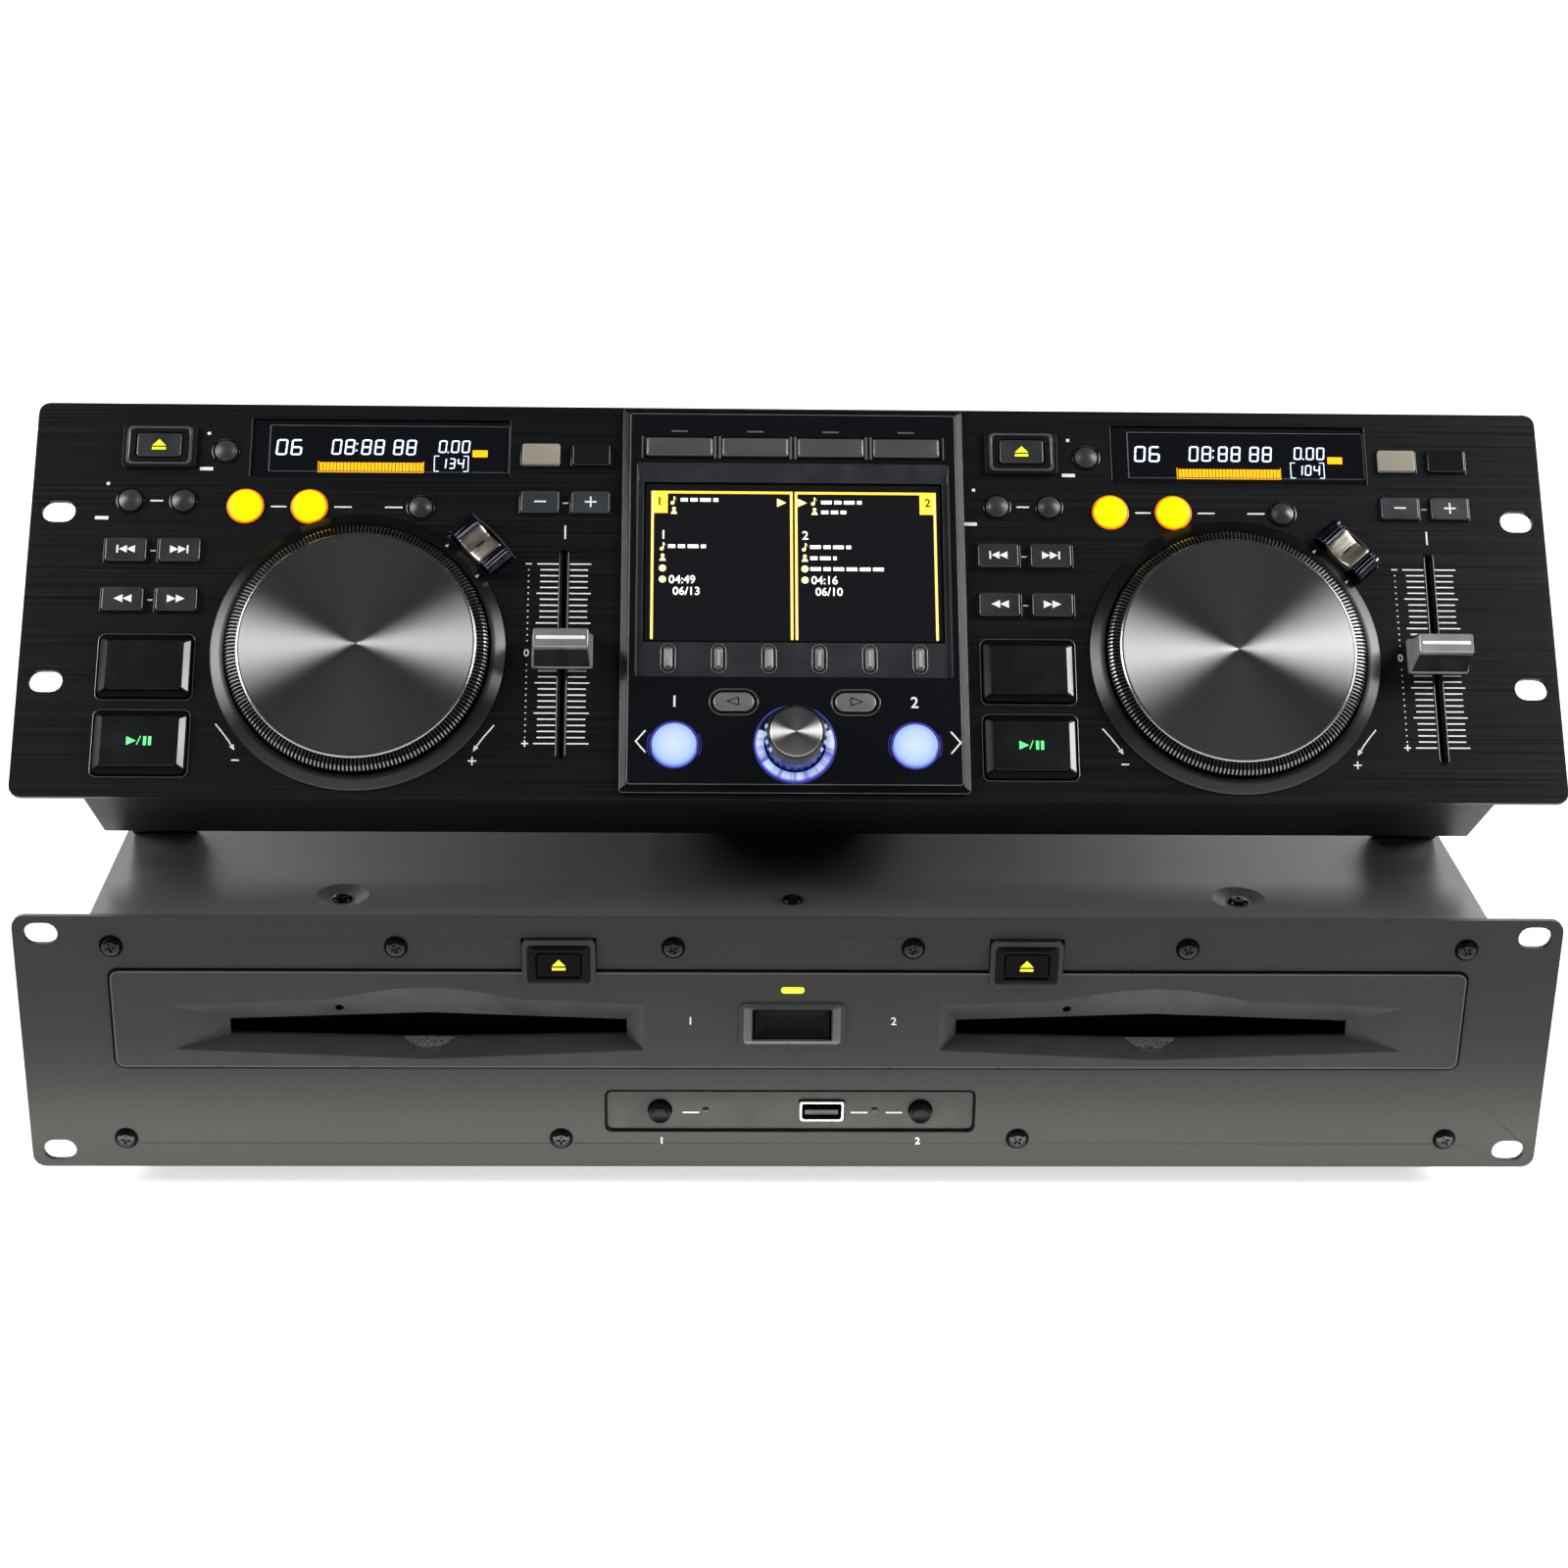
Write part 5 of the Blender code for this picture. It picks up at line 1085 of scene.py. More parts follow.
def screen():
    low, high = local_box("screen", deck)
    top = high.z
    glass = Form().stack(rounded(high.x - low.x, high.y - low.y, 0.5, (low.x + high.x) / 2,
                                 (low.y + high.y) / 2, 2),
                         [(0, low.z), (0, top - 0.1), (-0.1, top)])
    piece("screen_glass", glass, deck, "controller", screen_black, "screen", "screen_window")
    light, dark = top + 0.05, top - 0.1
    frames = []
    for left, right in ((-44.8, -0.6), (0.9, 45.2)):
        frames.append(stroke([(left, -13.6), (left, 36.4), (right, 36.4), (right, -13.6)], 0.85))
    frames += [bar(-42.4, 32.9, 4.8, 7.4), bar(42.8, 32.9, 4.8, 7.4)]
    piece("screen_frames", marked(frames, dark, light), deck, "controller", screen_amber)
    glow = [bar(x, 11.2, 0.4, 50.0) for x in (-44.8, -0.6, 0.9, 45.2)]
    piece("screen_cores", marked(glow, light - 0.01, light + 0.03), deck, "controller", screen_pale)
    play = [arrowhead(-3.7, 33.0, 2.9, 0, 1.0), arrowhead(2.9, 33.0, 2.9, 0, 1.0)]
    piece("screen_arrows", marked(play, dark, light), deck, "controller", screen_pale)
    white, gold = Form(), Form()
    for x, lines in ((-41.9, ((33.8, 12.0), (17.8, 12.0))),
                     (3.2, ((33.2, 13.0), (29.8, 8.0), (17.8, 13.0), (14.0, 8.4), (10.3, 24.0)))):
        top_x = x + (3.9 if x < 0 else 3.6)
        notes = note_icon(top_x, 33.6) + note_icon(x + 0.6, 17.8)
        for mark in notes + person_icon(top_x, 30.1) + person_icon(x + 0.4, 14.0):
            gold.slab(mark, dark, light)
        for y in (10.3, 6.5):
            gold.slab(dot(x + 0.4, y, 1.15, 16), dark, light)
        gold.slab(stroke([(x + 0.4, 7.4), (x + 0.4, 6.5), (x + 1.2, 6.5)], 0.25), light, light + 0.03)
        for y, length in lines:
            start = (top_x if y > 25 else x) + 2.1
            while length > 0:
                word = min(length, 3.4 if int(10 * y + length) % 2 else 2.3)
                white.slab(bar(start + word / 2, y, word, 1.2), dark, light)
                start, length = start + word + 0.8, length - word - 0.8
        white.join(text_form("1" if x < 0 else "2", 2.9, x + 0.6, 21.8, dark, light))
        white.join(text_form("04:49" if x < 0 else "04:16", 2.8, x + 6.6, 6.5, dark, light))
        white.join(text_form("06/13" if x < 0 else "06/10", 2.8, x + 8.0, 2.6, dark, light))
    piece("screen_marks", white, deck, "controller", screen_white)
    piece("screen_icons", gold, deck, "controller", screen_pale)
    tabs = numbers((("1", -42.6, 33.3), ("2", 43.0, 33.3)), 2.8, light, light + 0.04)
    piece("screen_tab_marks", tabs, deck, "controller", print_and_shade_black)


def console_keys():
    top = top_of("tab_keys", deck)
    caps, lights = Form(), []
    for x in tab_x:
        steps = [(0, 0.4), (0, top - 0.9), (-0.15, top - 0.5), (-0.45, top - 0.15), (-1.0, top)]
        caps.stack(rounded(21.4, 6.4, 0.5, x, 51.5, 3), steps)
        lights.append(bar(x, 56.9, 5.2, 0.55))
    piece("tab_caps", caps, deck, "tab_keys", tab_grey, "tab_keys", "key_satin")
    piece("console_lamps", marked(lights, console_top - 0.1, console_top + 0.04), deck, "controller",
          divider_and_highlight_grey)
    posts = [bar(x + way * 0.75, 51.3, 0.75, 7.6) for x in (-24.2, 0, 24.2) for way in (-1, 1)]
    posts += [bar(way * 48.2, 51.3, 0.4, 7.6) for way in (-1, 1)]
    piece("tab_dividers", marked(posts, console_top - 0.3, console_top + 0.12), deck, "controller",
          divider_and_highlight_grey)
    top = top_of("soft_keys", deck)
    pills, rims = Form(), Form()
    for x, y in soft_places:
        pills.stack(rounded(2.9, 8.2, 1.45, x, y, 8), key_profile(-0.6, top - 0.5, 0.3, 1.4, 0.5))
        rims.plate(rounded(4.9, 10.0, 2.45, x, y, 8), 1.2, 1.42, 0.12, [rounded(4.2, 9.3, 2.1, x, y, 8)],
                   False)
    piece("soft_caps", pills, deck, "soft_keys", pill_metal, "soft_keys", "key_satin")
    # A thin lighter strip along the top of each pill: a painted highlight.
    pill_highlights = Form()
    for x, y in soft_places:
        pill_highlights.stack(rounded(0.85, 5.6, 0.42, x, y, 5), [(0, top - 0.3), (0, top - 0.02),
                                                         (-0.2, top + 0.03)])
    piece("soft_highlights", pill_highlights, deck, "soft_keys", pill_highlight_silver, slot="key_satin")
    piece("soft_rims", rims, deck, "controller", divider_and_highlight_grey)
    top = top_of("menu_keys", deck)
    caps, rims, icons = Form(), Form(), []
    for x in menu_x:
        caps.stack(rounded(12.7, 6.0, 3.0, x, menu_y, 8), key_profile(0.4, top - 0.2, 0.5, 2.9, 0.2))
        rims.plate(rounded(15.6, 8.9, 4.4, x, menu_y, 8), console_top - 0.1, console_top + 0.22, 0.12,
                   [rounded(14.6, 7.9, 3.9, x, menu_y, 8)], False)
        way = 1 if x > 0 else -1
        tip, base = x + way * 2.1, x - way * 1.5
        icons += [stroke([(base, -33.9), (tip, menu_y)], 0.28),
                  stroke([(tip, menu_y), (base, -36.5)], 0.28),
                  stroke([(base, -36.5), (base, -33.9)], 0.28)]
    piece("menu_caps", caps, deck, "menu_keys", menu_face, "menu_keys", "knob_silver")
    piece("menu_rims", rims, deck, "controller", frame_gloss)
    piece("menu_icons", marked(icons, top - 0.15, top + 0.04), deck, "menu_keys", print_and_shade_black)
    for side, x in zip(sides, load_x):
        body = "load_key_" + side
        top = top_of(body, deck)
        dome = Form().stack(disc(6.95, count=56), key_profile(-0.5, top - 0.35, 0.35, 6.95, 0.35))
        piece("load_lens_" + side, dome, at(deck, x, load_y), body, load_glow, body, "screen_window")
        halo = turned_ring([(7.75, console_top - 0.05), (7.75, console_top + 0.1),
                            (7.6, console_top + 0.16),
                            (7.4, console_top + 0.16), (7.26, console_top + 0.05),
                            (7.26, console_top - 0.3)], 56)
        piece("load_halo_" + side, halo.moved(shift(x, load_y)), deck, "controller", lamp_violet)
        arcs = [arc_stroke(8.35, start - 26, start + 26, 0.22, x, load_y) for start in (0, 180)]
        piece("load_arcs_" + side, marked(arcs, console_top - 0.1, console_top + 0.05), deck,
              "controller", lamp_violet)
    marks = [stroke([(-46.3, -44.6), (-49.3, -48.2), (-46.3, -51.8)], 0.5),
             stroke([(48.5, -44.6), (51.5, -48.2), (48.5, -51.8)], 0.5)]
    form = marked(marks, console_top - 0.1, console_top + 0.04)
    form.join(numbers((("1", -37.4, -35.0), ("2", 37.4, -35.0)), 3.7, console_top - 0.1,
                      console_top + 0.04))
    piece("console_marks", form, deck, "controller", paint_white)


def selector():
    base, body = at(deck, 0, selector_y), "selector_knob"
    top = top_of(body, base)
    cap = Form().lathe([(8.05, top - 1.3), (8.05, top - 0.45), (7.85, top - 0.12), (7.6, top),
                        (3, top - 0.03), (0.7, top - 0.05),
                        (0.3, top - 0.2)], 96)
    piece("selector_disc", cap, base, body, selector_metal, body, "knob_silver")
    collar = Form().lathe([(8.1, top - 3.2), (9.5, top - 3.1), (9.6, top - 2.6), (9.1, top - 1.6),
                           (8.4, top - 0.9), (8.1, top - 0.85)], 96)
    teeth = Form()
    for degrees in (-34, -18, -2, 14, 166, 182, 198, 214):
        tooth = Form().box((1.2, 1.1, 1.3), (9.15, 0, top - 2.2))
        teeth.join(tooth.moved(shift(turn=radians(degrees))))
    piece("selector_collar", collar, base, body, selector_black)
    piece("selector_notches", teeth, base, body, lamp_blue)
    count, flutes, loops = 144, 24, []
    for z, reach in ((console_top + 0.7, 8.9), (top - 4.0, 8.9), (top - 3.0, 8.7)):
        ways = [(reach + 0.16 * cos(flutes * tau * i / count), tau * i / count) for i in range(count)]
        loops.append([(radius * cos(angle), radius * sin(angle), z) for radius, angle in ways])
    piece("selector_skirt", Form().loft(loops), base, body, selector_clear, slot="selector_clear")
    profile = ((12.3, -0.05), (12.3, 0.3), (12.0, 0.5), (11.0, 0.9), (9.8, 1.1), (9.6, 1.0), (9.6, -0.3))
    for name, start, end, look in (("selector_glow", 158, 382, skirt_glow),
                                   ("selector_shade", 22, 158, selector_black)):
        loops = []
        for step in range(97):
            angle = radians(start + (end - start) * step / 96)
            loop = [(reach * cos(angle), reach * sin(angle), console_top + z) for reach, z in profile]
            loops.append(loop[::-1])
        piece(name, Form().loft(loops), base, "controller", look)
    rim = turned_ring([(12.9, console_top - 0.05), (12.9, console_top + 0.08), (12.8, console_top + 0.12),
                       (12.4, console_top + 0.12),
                       (12.32, console_top + 0.05), (12.32, console_top - 0.05)], 96)
    piece("selector_rim", rim, base, "controller", lamp_violet)


def screw(radius, height, depth=0.55):
    """A pan head with a cross in it, its underside at z 0."""
    head = Form()
    count = 64
    profile = [(1.0, 0.0), (1.0, 0.35 * height), (0.93, 0.7 * height), (0.78, 0.92 * height),
               (0.62, height)]
    angles = [tau * i / count for i in range(count)]
    loops = [[(radius * share * cos(angle), radius * share * sin(angle), z) for angle in angles]
             for share, z in profile]
    head.loft(loops, True, False)
    cross, arm, half = [], 0.5 * radius, 0.13 * radius
    for quarter in range(4):
        for x, y in ((half, half), (half, arm), (-half, arm)):
            angle = quarter * pi / 2
            cross.append((x * cos(angle) - y * sin(angle), x * sin(angle) + y * cos(angle)))
    rim = [(x, y) for x, y, _ in loops[-1]]
    head.cap([rim, cross], height)
    floor = [(x * 0.55, y * 0.55, height - depth) for x, y in cross]
    head.loft([[(x, y, height) for x, y in cross], floor][::-1], False, False)
    head.faces[-12:] = [face[::-1] for face in head.faces[-12:]]
    head.cap([[(x, y) for x, y, _ in floor]], height - depth)
    return head


def screws(name, places, base, body, radius, height, look, turn=0.5):
    form = Form()
    for i, (x, y) in enumerate(places):
        form.join(screw(radius, height).moved(shift(x, y, 0, turn + 0.7 * i)))
    return piece(name, form, base, body, look, slot="plated_steel", angle=30)


def both(places):
    return [(side * x, y) for x, y in places for side in (-1, 1)]


def sockets(name, places, base, body, shell, insert, tongue, pins):
    """Sockets of nine contacts. The shell is given from low to high, the rest by thickness and middle."""
    shells, inserts, contacts = Form(), Form(), Form()
    for x in places:
        shells.plate(rounded(25.0, 12.0, 1.4, x, 0, 4), *shell, 0.3, [rounded(21.8, 8.8, 1.0, x, 0, 4)])
        inserts.box((22.2, 9.2, insert[0]), (x, 0, insert[1]))
        inserts.box((18.0, 3.0, tongue[0]), (x, 0, tongue[1]))
        for i in range(9):
            contacts.box((1.0, 0.3, pins[0]), (x + 1.9 * (i - 4), 1.6, pins[1]))
    piece(name + "_shells", shells, base, body, zinc)
    piece(name + "_inserts", inserts, base, body, black_plastic_and_shade)
    piece(name + "_contacts", contacts, base, body, jack_gold)


hump_depth = 53.0  # how far the hump stands out behind the housing


def controller_back():
    """Two sockets on the housing's hump, and its screws."""
    low, _ = local_box("controller_housing", deck)
    base = at(deck, z=low.z, turn=pi, about="Y")
    sockets("hump", (-19.0, 19.0), base, "controller", (0.02, 1.2), (0.3, 0.17), (0.8, 0.6), (0.7, 0.65))
    marks = numbers((("1", 19.0, -12.0), ("2", -19.0, -12.0)), 3.4, 0.0, 0.06)
    piece("hump_marks", marks, base, "controller", paint_white)
    screws("hump_screws", both([(39.0, 22.0), (39.0, -21.0)]), base, "controller", 2.6, 1.2, screw_black)
    base = at(deck, z=low.z + hump_depth, turn=pi, about="Y")
    screws("housing_screws", both([(190.0, 52.0), (95.0, 52.0)]), base, "controller", 2.6, 1.2,
           screw_black)


def console():
    controller_back()
    console_frame()
    screen()
    console_keys()
    selector()


# ---------------------------------------------------------------- drive unit


slot_middle, slot_y = 114.4, 4.3
disc_eject_x, disc_eject_y = (-73.0, 73.0), 28.7
usb_key_y = -24.2
jack_proud = 9.0  # how far the sound jacks stand out behind the chassis
inlet_x = -150.0


def fascia_marks():
    form = numbers((("1", -32.0, 8.9), ("2", 32.0, 8.9)), 2.7, 0.75, 0.86)
    piece("fascia_marks", form, drive, "drive_unit", paint_white)
    width, height, middle = 424.4, 33.3, 8.95
    # A black ring round the fascia, over its gap: painted shade in the gap.
    gap = Form().plate(rounded(width + 1.9, height + 1.9, 3.4, 0, middle, 5), 0.01, 0.05, 0.02,
                       [rounded(width + 0.2, height + 0.2, 2.7, 0, middle, 5)], False)
    piece("fascia_gap_shade", gap, drive, "drive_unit", print_and_shade_black)
    # Lighter lines along the fascia's edge: a painted highlight on its bevel.
    ring = rounded(width - 0.35, height - 0.35, 2.4, 0, middle, 5)()
    top = max(y for _, y in ring)
    upper = [i for i, (_, y) in enumerate(ring) if y > top - 0.01]
    start = min(upper, key=lambda i: ring[i][0])
    outer = ring[start + 1:] + ring[:start]
    lines = [[(-81.0, top), ring[start]], outer, [outer[-1], (81.0, top)], [(-65.0, top), (65.0, top)]]
    edge = marked([stroke(line, 0.4) for line in lines], 0.6, 0.84)
    piece("fascia_edge_highlight", edge, drive, "drive_unit", bezel_and_highlight_grey)
    spans = ((-34.4, -29.1), (19.4, 24.7), (30.6, 35.8))
    outlines = [bar((a + b) / 2, -24.7, b - a, 0.4) for a, b in spans]
    piece("usb_marks", marked(outlines, -0.85, -0.76), drive, "drive_unit", paint_white)
    form = numbers((("1", -41.0, -34.5), ("2", 41.0, -34.5)), 2.4, -0.02, 0.04)
    piece("panel_marks", form, drive, "drive_unit", paint_white)


def drive_keys():
    bezels = Form()
    for x in disc_eject_x:
        outer = rounded(22.8, 16.0, 2.4, x, disc_eject_y, 6)
        inner = rounded(14.4, 8.8, 0.7, x, disc_eject_y, 6)
        steps = ((outer, 0.1, 0.03), (outer, 0.1, 0.75), (outer, -0.2, 1.0), (outer, -1.2, 1.3),
                 (inner, 1.0, 1.95), (inner, 0.35, 2.0),
                 (inner, 0.0, 1.85), (inner, -0.05, 0.2))
        bezels.climb(steps)
    piece("drive_bezels", bezels, drive, "drive_unit", drive_gloss, slot="key_gloss")
    outer, inner = rounded(33.2, 14.9, 1.8, 0, 7.6, 6), rounded(25.4, 11.0, 0.5, 0, 8.0, 6)
    steps = ((outer, 0, 0.6), (outer, 0, 0.9), (outer, -0.45, 1.15), (inner, 0.4, 2.0),
             (inner, 0.1, 2.05), (inner, 0, 1.9),
             (inner, 0, 0.3))
    bezel = Form().climb(steps)
    piece("power_bezel", bezel, drive, "drive_unit", bezel_and_highlight_grey)
    for side, x in zip(sides, disc_eject_x):
        body = "disc_eject_key_" + side
        top = top_of(body, drive)
        cap = Form().stack(rounded(13.7, 8.1, 0.7, x, disc_eject_y),
                           key_profile(-1.6, top, 0.4, 3.4, -0.12))
        piece("disc_eject_cap_" + side, cap, drive, body, key_jet, body, "key_gloss")
        icon = marked(eject_icon(x, disc_eject_y, 4.2, 3.7), top - 0.15, top - 0.04)
        piece("disc_eject_icon_" + side, icon, drive, body, icon_yellow)
    top = top_of("power_key", drive)
    cap = Form().stack(rounded(24.0, 10.6, 0.7, 0, 7.9), key_profile(-1.6, top - 0.6, 0.45, 5.0, -0.7))
    piece("power_cap", cap, drive, "power_key", key_jet, "power_key", "key_gloss")
    lamp = Form().stack(rounded(7.3, 2.1, 1.0, 0, 19.7, 6),
                        [(0, 0.5), (0, 0.95), (-0.15, 1.1), (-0.4, 1.18)])
    piece("power_lamp", lamp, drive, "drive_unit", lamp_lime, slot="yellow_lens")
    for side, x in (("left", -41.6), ("right", 41.6)):
        body = "usb_stop_key_" + side
        top = top_of(body, drive)
        steps = [(0, -1.6), (0, top - 1.0), (-0.25, top - 0.8), (-0.7, top - 0.75), (-0.75, top - 0.2),
                 (-0.95, top), (-1.2, top - 0.1), (-2.2, top - 0.3)]
        cap = Form().stack(disc(3.45, x, usb_key_y, 40), steps)
        piece("usb_stop_cap_" + side, cap, drive, body, drive_gloss, body, "key_satin")
    lamps = Form()
    for x in (-27, 27):
        lamps.stack(disc(1.05, x, usb_key_y, 24), [(0, -1.2), (0, -0.8), (-0.3, -0.55), (-0.8, -0.45)])
    piece("usb_lamps", lamps, drive, "drive_unit", lamp_off)


def slot_felt():
    """A strip of felt across each finger notch, sloping as the funnel does, and a lighter band along the
    notch's edge, a painted highlight.
    """
    slope, foot, front = -4.8 / 4.9, -4.8, 0.8
    for side, way in (("left", -1), ("right", 1)):
        x = way * slot_middle

        def half_ellipse(half_width, drop):
            angles = [pi + pi * step / 24 for step in range(25)]
            return [(half_width * cos(angle), drop * sin(angle)) for angle in angles]

        def strip(outline, lifts):
            form = Form()
            for lift, way in zip(lifts, (1, -1)):
                points = [(a, b, front + slope * (b - foot) + lift) for a, b in outline]
                form.add(points, [list(range(len(points)))[::way]])
            count = len(outline)
            form.faces += [[i, count + i, count + (i + 1) % count, (i + 1) % count] for i in range(count)]
            return form

        edge = [(x + a, slot_y + b) for a, b in half_ellipse(10.4, 6.7) if b < -3.7]
        piece("slot_felt_" + side, strip(edge, (-0.7, -1.4)), drive, "drive_unit", felt_black)
        # A lighter band along the notch's lower edge: a painted highlight.
        outer, inner = half_ellipse(10.75, 7.05), half_ellipse(10.45, 6.75)
        band = [(a, b) for a, b in outer if b < -4.2] + [(a, b) for a, b in inner if b < -4.0][::-1]
        lip = strip([(x + a, slot_y + b) for a, b in band], (0.08, -0.1))
        piece("notch_highlight_" + side, lip, drive, "drive_unit", bezel_and_highlight_grey)


def usb_shell():
    """The socket's bright shell, painted shade inside it and the tongue with its contacts."""
    low, high = local_box("usb_socket", drive)
    x, y, top = (low.x + high.x) / 2, (low.y + high.y) / 2, high.z
    outer, inner = rounded(14.2, 7.2, 1.1, x, y, 4), rounded(12.6, 5.6, 0.7, x, y, 4)
    steps = ((outer, 0, low.z), (outer, 0, top + 0.1), (outer, -0.25, top + 0.35),
             (inner, 0.15, top + 0.3), (inner, 0, top + 0.1),
             (inner, 0, low.z + 0.6))
    shell = Form().climb(steps, True, True)
    piece("usb_shell", shell, drive, "drive_unit", socket_metal, "usb_socket", "socket_metal")
    # The black sheet inside the metal shell is painted shade in the socket.
    inside = inner(-0.05)
    inside_shade = Form().loft([[(px, py, z) for px, py in inside][::-1] for z in (top - 0.7, low.z + 0.7)],
                        False, False)
    inside_shade.cap([inside], low.z + 0.75)
    piece("usb_inside_shade", inside_shade, drive, "drive_unit", black_plastic_and_shade)
    tongue = Form().box((10.6, 1.7, 11.0), (x, y - 1.2, top - 7.0))
    piece("usb_tongue", tongue, drive, "drive_unit", black_plastic_and_shade)
    contacts = Form()
    for i in range(4):
        contacts.box((1.0, 0.12, 8.0), (x + 2.3 * (i - 1.5), y - 0.32, top - 6.2))
    piece("usb_contacts", contacts, drive, "drive_unit", jack_gold)
    # A black ring round the USB panel's recess: painted shade in its gap.
    ring = Form().plate(rounded(118.4, 15.3, 2.2, 0, -23.75, 5), 0.0, 0.06, 0.03,
                        [rounded(117.0, 13.9, 1.8, 0, -23.75, 5)], False)
    piece("usb_panel_gap_shade", ring, drive, "drive_unit", print_and_shade_black)


def panel_screws():
    places = both([(37.4, 34.0), (123.4, 34.0), (211.2, 34.0), (73.1, -33.7), (211.2, -33.7)])
    screws("panel_screws", places, drive, "drive_unit", 3.0, 1.6, screw_black)
    # Black rings round the screw heads: painted shade in the countersunk seats.
    rings = Form()
    for x, y in places:
        rings.join(turned_ring([(3.75, 0.0), (3.7, 0.08), (2.9, 0.08), (2.9, 0.0)],
                               40).moved(shift(x, y)))
    piece("screw_seat_shade", rings, drive, "drive_unit", print_and_shade_black)


def cover_screws():
    base = at(drive, 0, 43.75 - 1.35, -17.0, -pi / 2, "X")
    screws("cover_screws", [(x, 0) for x in (-141.5, 0, 141.5)], base, "drive_unit", 3.3, 1.15,
           screw_black, 0.2)


def rear_panel():
    """The connectors, seen from behind: x runs the other way there."""
    low, _ = local_box("rear_connectors", drive)
    base = at(drive, 0, 0, low.z + jack_proud, pi, "Y")
    places = both([(152.0, 18.0)]) + [(0, 18.0), (0, -18.0)]
    plate = Form().plate(rounded(320.0, 46.0, 1.0, -8.0, 0, 3), 0.05, 1.05, 0.3,
                         [rounded(24.4, 16.4, 0.6, inlet_x, 0, 3)])
    piece("rear_plate", plate, base, "drive_unit", bracket_paint, "rear_connectors", "bracket_paint")
    inlet = Form().plate(rounded(30.0, 22.0, 2.4, inlet_x, 0, 5), 1.0, 6.0, 0.5,
                         [rounded(24.0, 16.0, 1.6, inlet_x, 0, 5)])
    inlet.box((24.6, 16.6, 0.4), (inlet_x, 0, 0.45))
    piece("inlet_shroud", inlet, base, "drive_unit", loader_black)
    pins = Form()
    for x, y in ((inlet_x - 7.0, -1.2), (inlet_x + 7.0, -1.2), (inlet_x, 2.6)):
        pins.box((2.0, 4.2, 4.6), (x, y, 2.8))
    piece("inlet_pins", pins, base, "drive_unit", zinc)
    sockets("port", (50.0, 0.0), base, "drive_unit", (1.0, 6.0), (0.4, 1.6), (3.6, 3.4), (3.0, 3.5))
    barrels, collars = Form(), {15.0: Form(), -15.0: Form()}
    for x in (130.0, 112.0):
        for y, collar in collars.items():
            ring = turned_ring([(5.0, 1.0), (5.0, 8.7), (4.7, 9.0), (2.5, 9.0), (2.2, 8.7), (2.2, 1.0)],
                               40)
            barrels.join(ring.moved(shift(x, y)))
            rim = turned_ring([(6.6, 1.0), (6.6, 2.6), (6.3, 3.0), (5.3, 3.0), (5.02, 2.8), (5.02, 1.0)],
                              40)
            collar.join(rim.moved(shift(x, y)))
    piece("jack_barrels", barrels, base, "drive_unit", jack_gold)
    piece("jack_collars_white", collars[15.0], base, "drive_unit", jack_white)
    piece("jack_collars_red", collars[-15.0], base, "drive_unit", jack_red)
    marks = numbers((("1", 50.0, -13.0), ("2", 0.0, -13.0)), 3.4, 1.03, 1.1)
    outlines = [bar(121.0, y, 6.0, 0.4) for y in (15.0, -15.0)]
    marks.join(marked(outlines, 1.03, 1.1))
    piece("rear_marks", marks, base, "drive_unit", paint_white)
    screws("rear_plate_screws", [(x - 8.0, y) for x, y in places], at(base, z=1.05), "drive_unit", 2.6,
           1.3, screw_black)
    screws("rear_case_screws", both([(200.0, 34.0), (200.0, -34.0)]), base, "drive_unit", 3.0, 1.5,
           screw_black)


def side_screws():
    boxes = [local_box(name, drive) for name in ("drive_chassis", "top_cover")]
    half = max(high.x for _, high in boxes)
    middle = (boxes[0][0].z + boxes[0][1].z) / 2
    for name, way in (("left", -1), ("right", 1)):
        base = at(drive, way * half, 0, middle, way * pi / 2, "Y")
        places = both([(100.0, 30.0), (100.0, -30.0)]) + [(0, 30.0)]
        screws("side_screws_" + name, places, base, "drive_unit", 3.0, 1.4, screw_black)


def drive_unit():
    rear_panel()
    side_screws()
    fascia_marks()
    drive_keys()
    slot_felt()
    usb_shell()
    panel_screws()
    cover_screws()


# ---------------------------------------------------------------- carried-over nodes

# CAD nodes that are shown as they are, and how far their edges are rounded
kept = {
    "control_panel": panel_black, "controller_housing": housing_paint, "controller_stand": bracket_paint,
    "controller_board": board_green, "drive_panel": panel_paint, "drive_fascia": fascia_plastic,
    "usb_panel": inset_plastic, "drive_chassis": case_paint, "top_cover": case_paint,
    "loader_left": loader_black, "loader_right": loader_black, "drive_board": board_green,
    "drive_feet": rubber,
    "feed_roller_left": rubber, "feed_roller_right": rubber,
    "disc_spindle_left": loader_black, "disc_spindle_right": loader_black,
}

softened = {"drive_fascia": 0.25, "drive_panel": 0.18, "usb_panel": 0.2, "control_panel": 0.2,
            "top_cover": 0.4,
            "controller_housing": 0.5, "controller_stand": 0.5, "drive_feet": 0.3}


def dress_nodes():
    for name, look in kept.items():
        node = frame["nodes"][name]
        node.data.materials.clear()
        node.data.materials.append(look)
        if name in softened:  # the edges catch the light
            weld = node.modifiers.new("weld", "WELD")
            weld.merge_threshold = 0.000001
            bevel = node.modifiers.new("bevel", "BEVEL")
            bevel.width, bevel.segments, bevel.limit_method = softened[name] * mm, 2, "ANGLE"
            bevel.angle_limit, bevel.use_clamp_overlap = radians(30), True
            shade = node.modifiers.new("shade", "WEIGHTED_NORMAL")
            shade.keep_sharp = True


# ---------------------------------------------------------------- studio


floor_lift = 0.5


def combined(tree, operation, first, second, clamp=False):
    """The output of a maths node between two outputs."""
    node = tree.nodes.new("ShaderNodeMath")
    node.operation, node.use_clamp = operation, clamp
    tree.links.new(first, node.inputs[0])
    tree.links.new(second, node.inputs[1])
    return node.outputs[0]


